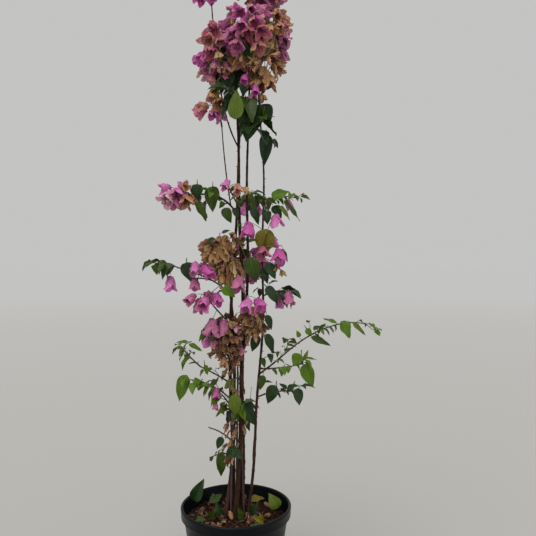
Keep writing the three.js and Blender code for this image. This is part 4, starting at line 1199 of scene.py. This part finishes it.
for number, (name, points) in enumerate(limb_points.items()):
    path = smoothed(points, max(2, round((points[1] - points[0]).length / BARK_STEP)))
    count = len(path) - 1
    draw = seeded(900 + number)
    start = draw(0, NODE_SPACING)
    radii = [limb_radius(name, i / count, p.z) for i, p in enumerate(path)]

    def bark(i, k):
        past_node = (i * BARK_STEP + start) % NODE_SPACING - NODE_SPACING / 2
        swell = 1 + NODE_SWELL * math.exp(-((past_node / NODE_REACH) ** 2))
        angle = FULL_TURN * k / BARK_SIDES
        spot = on_ball(0, angle) * GRAIN_ROUND + UP * (i * BARK_STEP / GRAIN_ALONG + number * 9)
        return radii[i] * swell * (1 + CRACK * (noise.noise(spot) + 0.6 * noise.noise(spot * 2.7)))

    young = name in ("cane_left", "cane_right") or name in BOUGHS
    limb = Piece("bark_" + name, "bark", [mauve_bark if young else old_bark])
    limb.add(*tube(path, radii, BARK_SIDES, swell=bark), name)
    for i in range(2, count - 2):
        at_node = (i * BARK_STEP + start) % NODE_SPACING < BARK_STEP
        if at_node and draw() <= THORNY:
            tangent = (path[i + 1] - path[i]).normalized()
            out = aside_from(tangent, draw(0, FULL_TURN))
            root = path[i] + out * radii[i] * 0.8
            thorn = (out + tangent * 0.35).normalized() * draw(*THORN_LENGTH)
            limb.add(*tube([root, root + thorn * 0.5, root + thorn], THORN_RADII, 6), name)
    limb.build(sharp=80)


# The pot: turned from its section, finer than the solid's, with a rolled rim and the drain holes cut through.
WALL_TOP, BAND_FOOT = RIM_RADIUS - RIM_OVERHANG, POT_HEIGHT - RIM_BAND
POT_SIDES, DRILL_SIDES, ROLL_STEP = 144, 24, 15


def inner_at(height):
    return mix(FOOT_RADIUS, WALL_TOP, min(height / BAND_FOOT, 1)) - WALL


def revolved(profile, sides):
    """The points and faces of a closed section of (radius, height) turned round the vertical axis."""
    points, faces, rings = [], [], []
    for radius, height in profile:
        across = 1 if radius == 0 else sides
        rings.append([len(points) + k % across for k in range(sides)])
        for angle in [FULL_TURN * k / sides for k in range(across)]:
            points.append(Vector((radius * math.cos(angle), radius * math.sin(angle), height)))
    for low, high in zip(rings, rings[1:]):
        for k in range(sides):
            after = (k + 1) % sides
            faces.append(tuple(dict.fromkeys((low[k], low[after], high[after], high[k]))))
    return points, faces


roll = [
    (RIM_RADIUS - RIM_ROLL + RIM_ROLL * math.cos(a), POT_HEIGHT - RIM_ROLL + RIM_ROLL * math.sin(a))
    for a in [math.radians(angle) for angle in range(0, 181, ROLL_STEP)]
]
pot_section = [
    (0, 0), (FOOT_RADIUS - 1.5, 0), (FOOT_RADIUS - 0.4, 0.4), (FOOT_RADIUS, 1.5),
    *[(mix(FOOT_RADIUS, WALL_TOP, share), BAND_FOOT * share) for share in (0.08, 0.9)],
    (WALL_TOP, BAND_FOOT - 0.6), (WALL_TOP + 0.4, BAND_FOOT), (RIM_RADIUS - 2.2, BAND_FOOT),
    (RIM_RADIUS - 1.2, BAND_FOOT + 0.8), (RIM_RADIUS - 0.9, BAND_FOOT + 2.5), (RIM_RADIUS - 0.9, POT_HEIGHT - 8),
    (RIM_RADIUS - 0.2, POT_HEIGHT - 6.6), *roll, (RIM_RADIUS - 6.9, POT_HEIGHT - 5),
    (inner_at(BAND_FOOT) + 1, BAND_FOOT - 2), (inner_at(BAND_FOOT), BAND_FOOT - 4),
    (inner_at(BASE_THICKNESS) + 0.2, BASE_THICKNESS + 2), (inner_at(BASE_THICKNESS) - 2, BASE_THICKNESS),
    (0, BASE_THICKNESS),
]
pot_piece = Piece("pot_moulded", "pot_plastic", [moulded_polypropylene("moulded_polypropylene")])
pot_piece.add(*revolved(pot_section, POT_SIDES), "pot")
pot = pot_piece.build(sharp=40)
drill_points, drill_faces = [], []
for k in range(DRAIN_HOLES):
    foot = on_ball(0, FULL_TURN * k / DRAIN_HOLES) * FOOT_RADIUS * DRAIN_PLACE - UP * 2
    rod, ends = tube([foot, foot + UP * (BASE_THICKNESS + 2.15)], [DRAIN_RADIUS] * 2, DRILL_SIDES)
    drill_faces += [tuple(len(drill_points) + i for i in face) for face in ends]
    drill_points += rod
drill = add_object("drill", [point * MM for point in drill_points], drill_faces)
cut = pot.modifiers.new("drain_holes", "BOOLEAN")
cut.operation, cut.solver, cut.object = "DIFFERENCE", "EXACT", drill
bored = bpy.data.meshes.new_from_object(pot.evaluated_get(bpy.context.evaluated_depsgraph_get()))
pot.modifiers.clear()
pot.data = bored
bpy.data.objects.remove(drill)

# The potting mix: peat that dips towards the wall, with lumps, and closed down to the pot's floor.
# Peat and bark chips are full of pores, which swallow most of the shine.
PORES = 0.12
peat = plain_grain("peat", "#2b1a12", "#120a07", 5, 0.95, PORES)
chip_materials = [
    plain_grain("chips_of_dark_bark", "#2f1f17", "#150d09", 4, 0.9, PORES),
    plain_grain("chips_of_red_bark", "#583024", "#321a13", 4, 0.85, PORES),
    plain_grain("bits_of_straw", "#80664a", "#594330", 5, 0.85, PORES),
    plain_grain("grit", "#6f675c", "#45403a", 3, 0.8, PORES),
]
SOIL_RINGS, SOIL_SIDES, SOIL_SPACE = 40, 120, 0.3
# How high its broad humps and small lumps are, and how far apart.
HUMPS, BUMPS = (3.2, 17), (1.5, 5)


def soil_height(x, y):
    """The mix's height: level round the stems, and falling to the wall."""
    outside = (math.hypot(x, y) - SOIL_LEVEL_RADIUS) / (inner_at(SOIL_TOP) - SOIL_LEVEL_RADIUS)
    humps = HUMPS[0] * noise.noise(Vector((x, y, 0)) / HUMPS[1])
    bumps = BUMPS[0] * noise.noise(Vector((x, y, 40)) / BUMPS[1])
    return SOIL_TOP - max(0, outside) * SOIL_EDGE_DROP + (humps + bumps) - 1


soil_floor, soil_edge = BASE_THICKNESS + SOIL_SPACE, inner_at(SOIL_TOP - SOIL_EDGE_DROP) - SOIL_SPACE
soil_rings = [(mix(soil_edge, 0, k / SOIL_RINGS), SOIL_TOP) for k in range(SOIL_RINGS + 1)]
soil_section = [(0, soil_floor), (inner_at(4) - SOIL_SPACE, soil_floor), *soil_rings]
soil_points, soil_faces = revolved(soil_section, SOIL_SIDES)
soil_points = [Vector((p.x, p.y, soil_height(p.x, p.y))) if p.z == SOIL_TOP else p for p in soil_points]
soil = Piece("potting_mix_peat", "potting_mix", [peat])
soil.add(soil_points, soil_faces, "potting_mix")
soil.build(sharp=60)

# Chips and larger lumps, each an uneven ball of twenty faces, and the materials that they are dealt.
CHIPS, CHIP_SIZE, CHIP_UNEVEN = 2600, (1.2, 4.6), (0.75, 1.2)
CHIP_DEAL = (0, 0, 1, 0, 1, 0, 2, 0, 1, 0, 0, 1, 0, 0, 0, 1, 0, 0, 1, 0, 3, 0, 0, 1)
LUMPS, LUMP_SIZE, LUMP_DEAL = 160, (4.5, 7.5), (0, 0, 1, 0)
GOLDEN = (1 + math.sqrt(5)) / 2
CHIP_CORNERS = [
    Vector(c).normalized()
    for s in (1, -1)
    for t in (GOLDEN, -GOLDEN)
    for c in ((0, s, t), (s, t, 0), (t, 0, s))
]


def chip_faces():
    """The twenty faces of a chip: each three corners that are next to each other, facing out."""
    made = []
    for a, b, c in itertools.combinations(range(len(CHIP_CORNERS)), 3):
        p, q, r = CHIP_CORNERS[a], CHIP_CORNERS[b], CHIP_CORNERS[c]
        if max((p - q).length, (q - r).length, (p - r).length) < 1.2:
            made.append((a, b, c) if (q - p).cross(r - p).dot(p) > 0 else (a, c, b))
    return made


CHIP_FACES = chip_faces()
chips = Piece("potting_mix_chips", "potting_mix", chip_materials)
scatter = seeded(61)
for number in range(CHIPS + LUMPS):
    angle, reach = scatter(0, FULL_TURN), (inner_at(SOIL_TOP) - 5) * math.sqrt(scatter())
    x, y = reach * math.cos(angle), reach * math.sin(angle)
    size = mix(*CHIP_SIZE, scatter() ** 2) if number < CHIPS else scatter(*LUMP_SIZE)
    shape = Vector((size * scatter(0.7, 1.6), size * scatter(0.5, 1.1), size * scatter(0.3, 0.7)))
    tilt = Quaternion((scatter(-1, 1), scatter(-1, 1), scatter(-1, 1)), scatter(0, 1.2))
    turn = tilt @ Quaternion(UP, scatter(0, FULL_TURN))
    middle = Vector((x, y, soil_height(x, y) + shape.z * 0.4))
    corners = [
        middle + turn @ Vector([c * s * scatter(*CHIP_UNEVEN) for c, s in zip(corner, shape)])
        for corner in CHIP_CORNERS
    ]
    chips.add(corners, CHIP_FACES, None, pick(CHIP_DEAL if number < CHIPS else LUMP_DEAL, scatter))
chips.build(sharp=20)

fallen_leaves = Piece("fallen_leaves", "foliage", leaf_materials)
fallen_bracts = Piece("fallen_bracts", "dried_blossom", dried_materials)
litter = seeded(83)
for one in FALLEN_LEAVES:
    knee = Vector(one["knee"])
    leaf = leaf_between(knee, knee, Vector(one["tip"]), one["lean"])
    add_leaf(fallen_leaves, None, leaf, one["tone"], litter, sway=FALLEN_SWAY, broad=one["broad"])
for _ in range(FALLEN_BRACTS):
    angle, reach = litter(0, FULL_TURN), litter(*FALLEN_REACH)
    x, y = reach * math.cos(angle), reach * math.sin(angle)
    centre = Vector((x, y, soil_height(x, y) + litter(1, 4)))
    axis = pointing(litter(0, 360), litter(-10, 60))
    outward = aside_from(axis, litter(0, FULL_TURN))
    ways, length, bend = (outward, axis.cross(outward), axis), litter(*FALLEN_LENGTH), (litter(25, 60), 10)
    worn = 2 - int(2.3 * litter() ** 2)
    add_bract(fallen_bracts, None, centre, ways, length, bend, FALLEN_HALF, worn, litter)
fallen_leaves.build()
fallen_bracts.build()

# The studio: a pale matt floor, even light from all round, and two broad soft lamps that are far away.
scene = bpy.context.scene
scene.view_settings.view_transform = "Standard"
world = bpy.data.worlds.new("studio_air")
world.use_nodes = True
settle(world.node_tree, world.node_tree.nodes["Background"], {"Color": "#c4c4c3", "Strength": 1.0})
scene.world = world

FLOOR_REACH = 400
corners = [(FLOOR_REACH * x, FLOOR_REACH * y, 0) for x, y in ((-1, -1), (1, -1), (1, 1), (-1, 1))]
floor = add_object("floor", corners, [(0, 1, 2, 3)])
paint, paint_tree, paint_body, _ = new_material("pale_matt_paint")
# The paint holds a painted shade: it is a little darker round the plant, lightens within 2 to 14 metres, and meets
# the air's tone further out.
far_out = node(paint_tree, "ShaderNodeVectorMath", {"operation": "LENGTH", 0: paint_body}, "Value")
painted_shade_falloff = node(paint_tree, "ShaderNodeMapRange", {"Value": far_out, "From Min": 2, "From Max": 14})
paint_colour = blend(paint_tree, painted_shade_falloff, "#b5b3af", "#bebebd")
settle(paint_tree, paint_tree.nodes["Principled BSDF"], {"Base Color": paint_colour, "Roughness": 0.9})
floor.data.materials.append(paint)


def soft_lamp(name, heading, rise, spread, strength):
    """A far lamp as broad as its spread in degrees, so that it lights floor and plant evenly with soft shadows."""
    lamp = bpy.data.lights.new(name, "SUN")
    lamp.angle, lamp.energy = math.radians(spread), strength
    made = bpy.data.objects.new(name, lamp)
    made.rotation_euler = (-pointing(heading, rise)).to_track_quat("-Z", "Y").to_euler()
    scene.collection.objects.link(made)


soft_lamp("key_lamp", 246, 56, 50, 1.6)
soft_lamp("fill_lamp", 320, 24, 60, 0.5)

# The camera: level, at the photograph's place and angle.
CAMERA_PLACE, CAMERA_LENS, SENSOR_WIDTH = (0.0695, -1.257, 0.7296), 38.65, 36
camera_data = bpy.data.cameras.new("camera")
camera_data.sensor_width = SENSOR_WIDTH
camera_data.lens = CAMERA_LENS
camera = bpy.data.objects.new("camera", camera_data)
camera.location = CAMERA_PLACE
camera.rotation_euler = (math.radians(90), 0, 0)
scene.collection.objects.link(camera)
scene.camera = camera
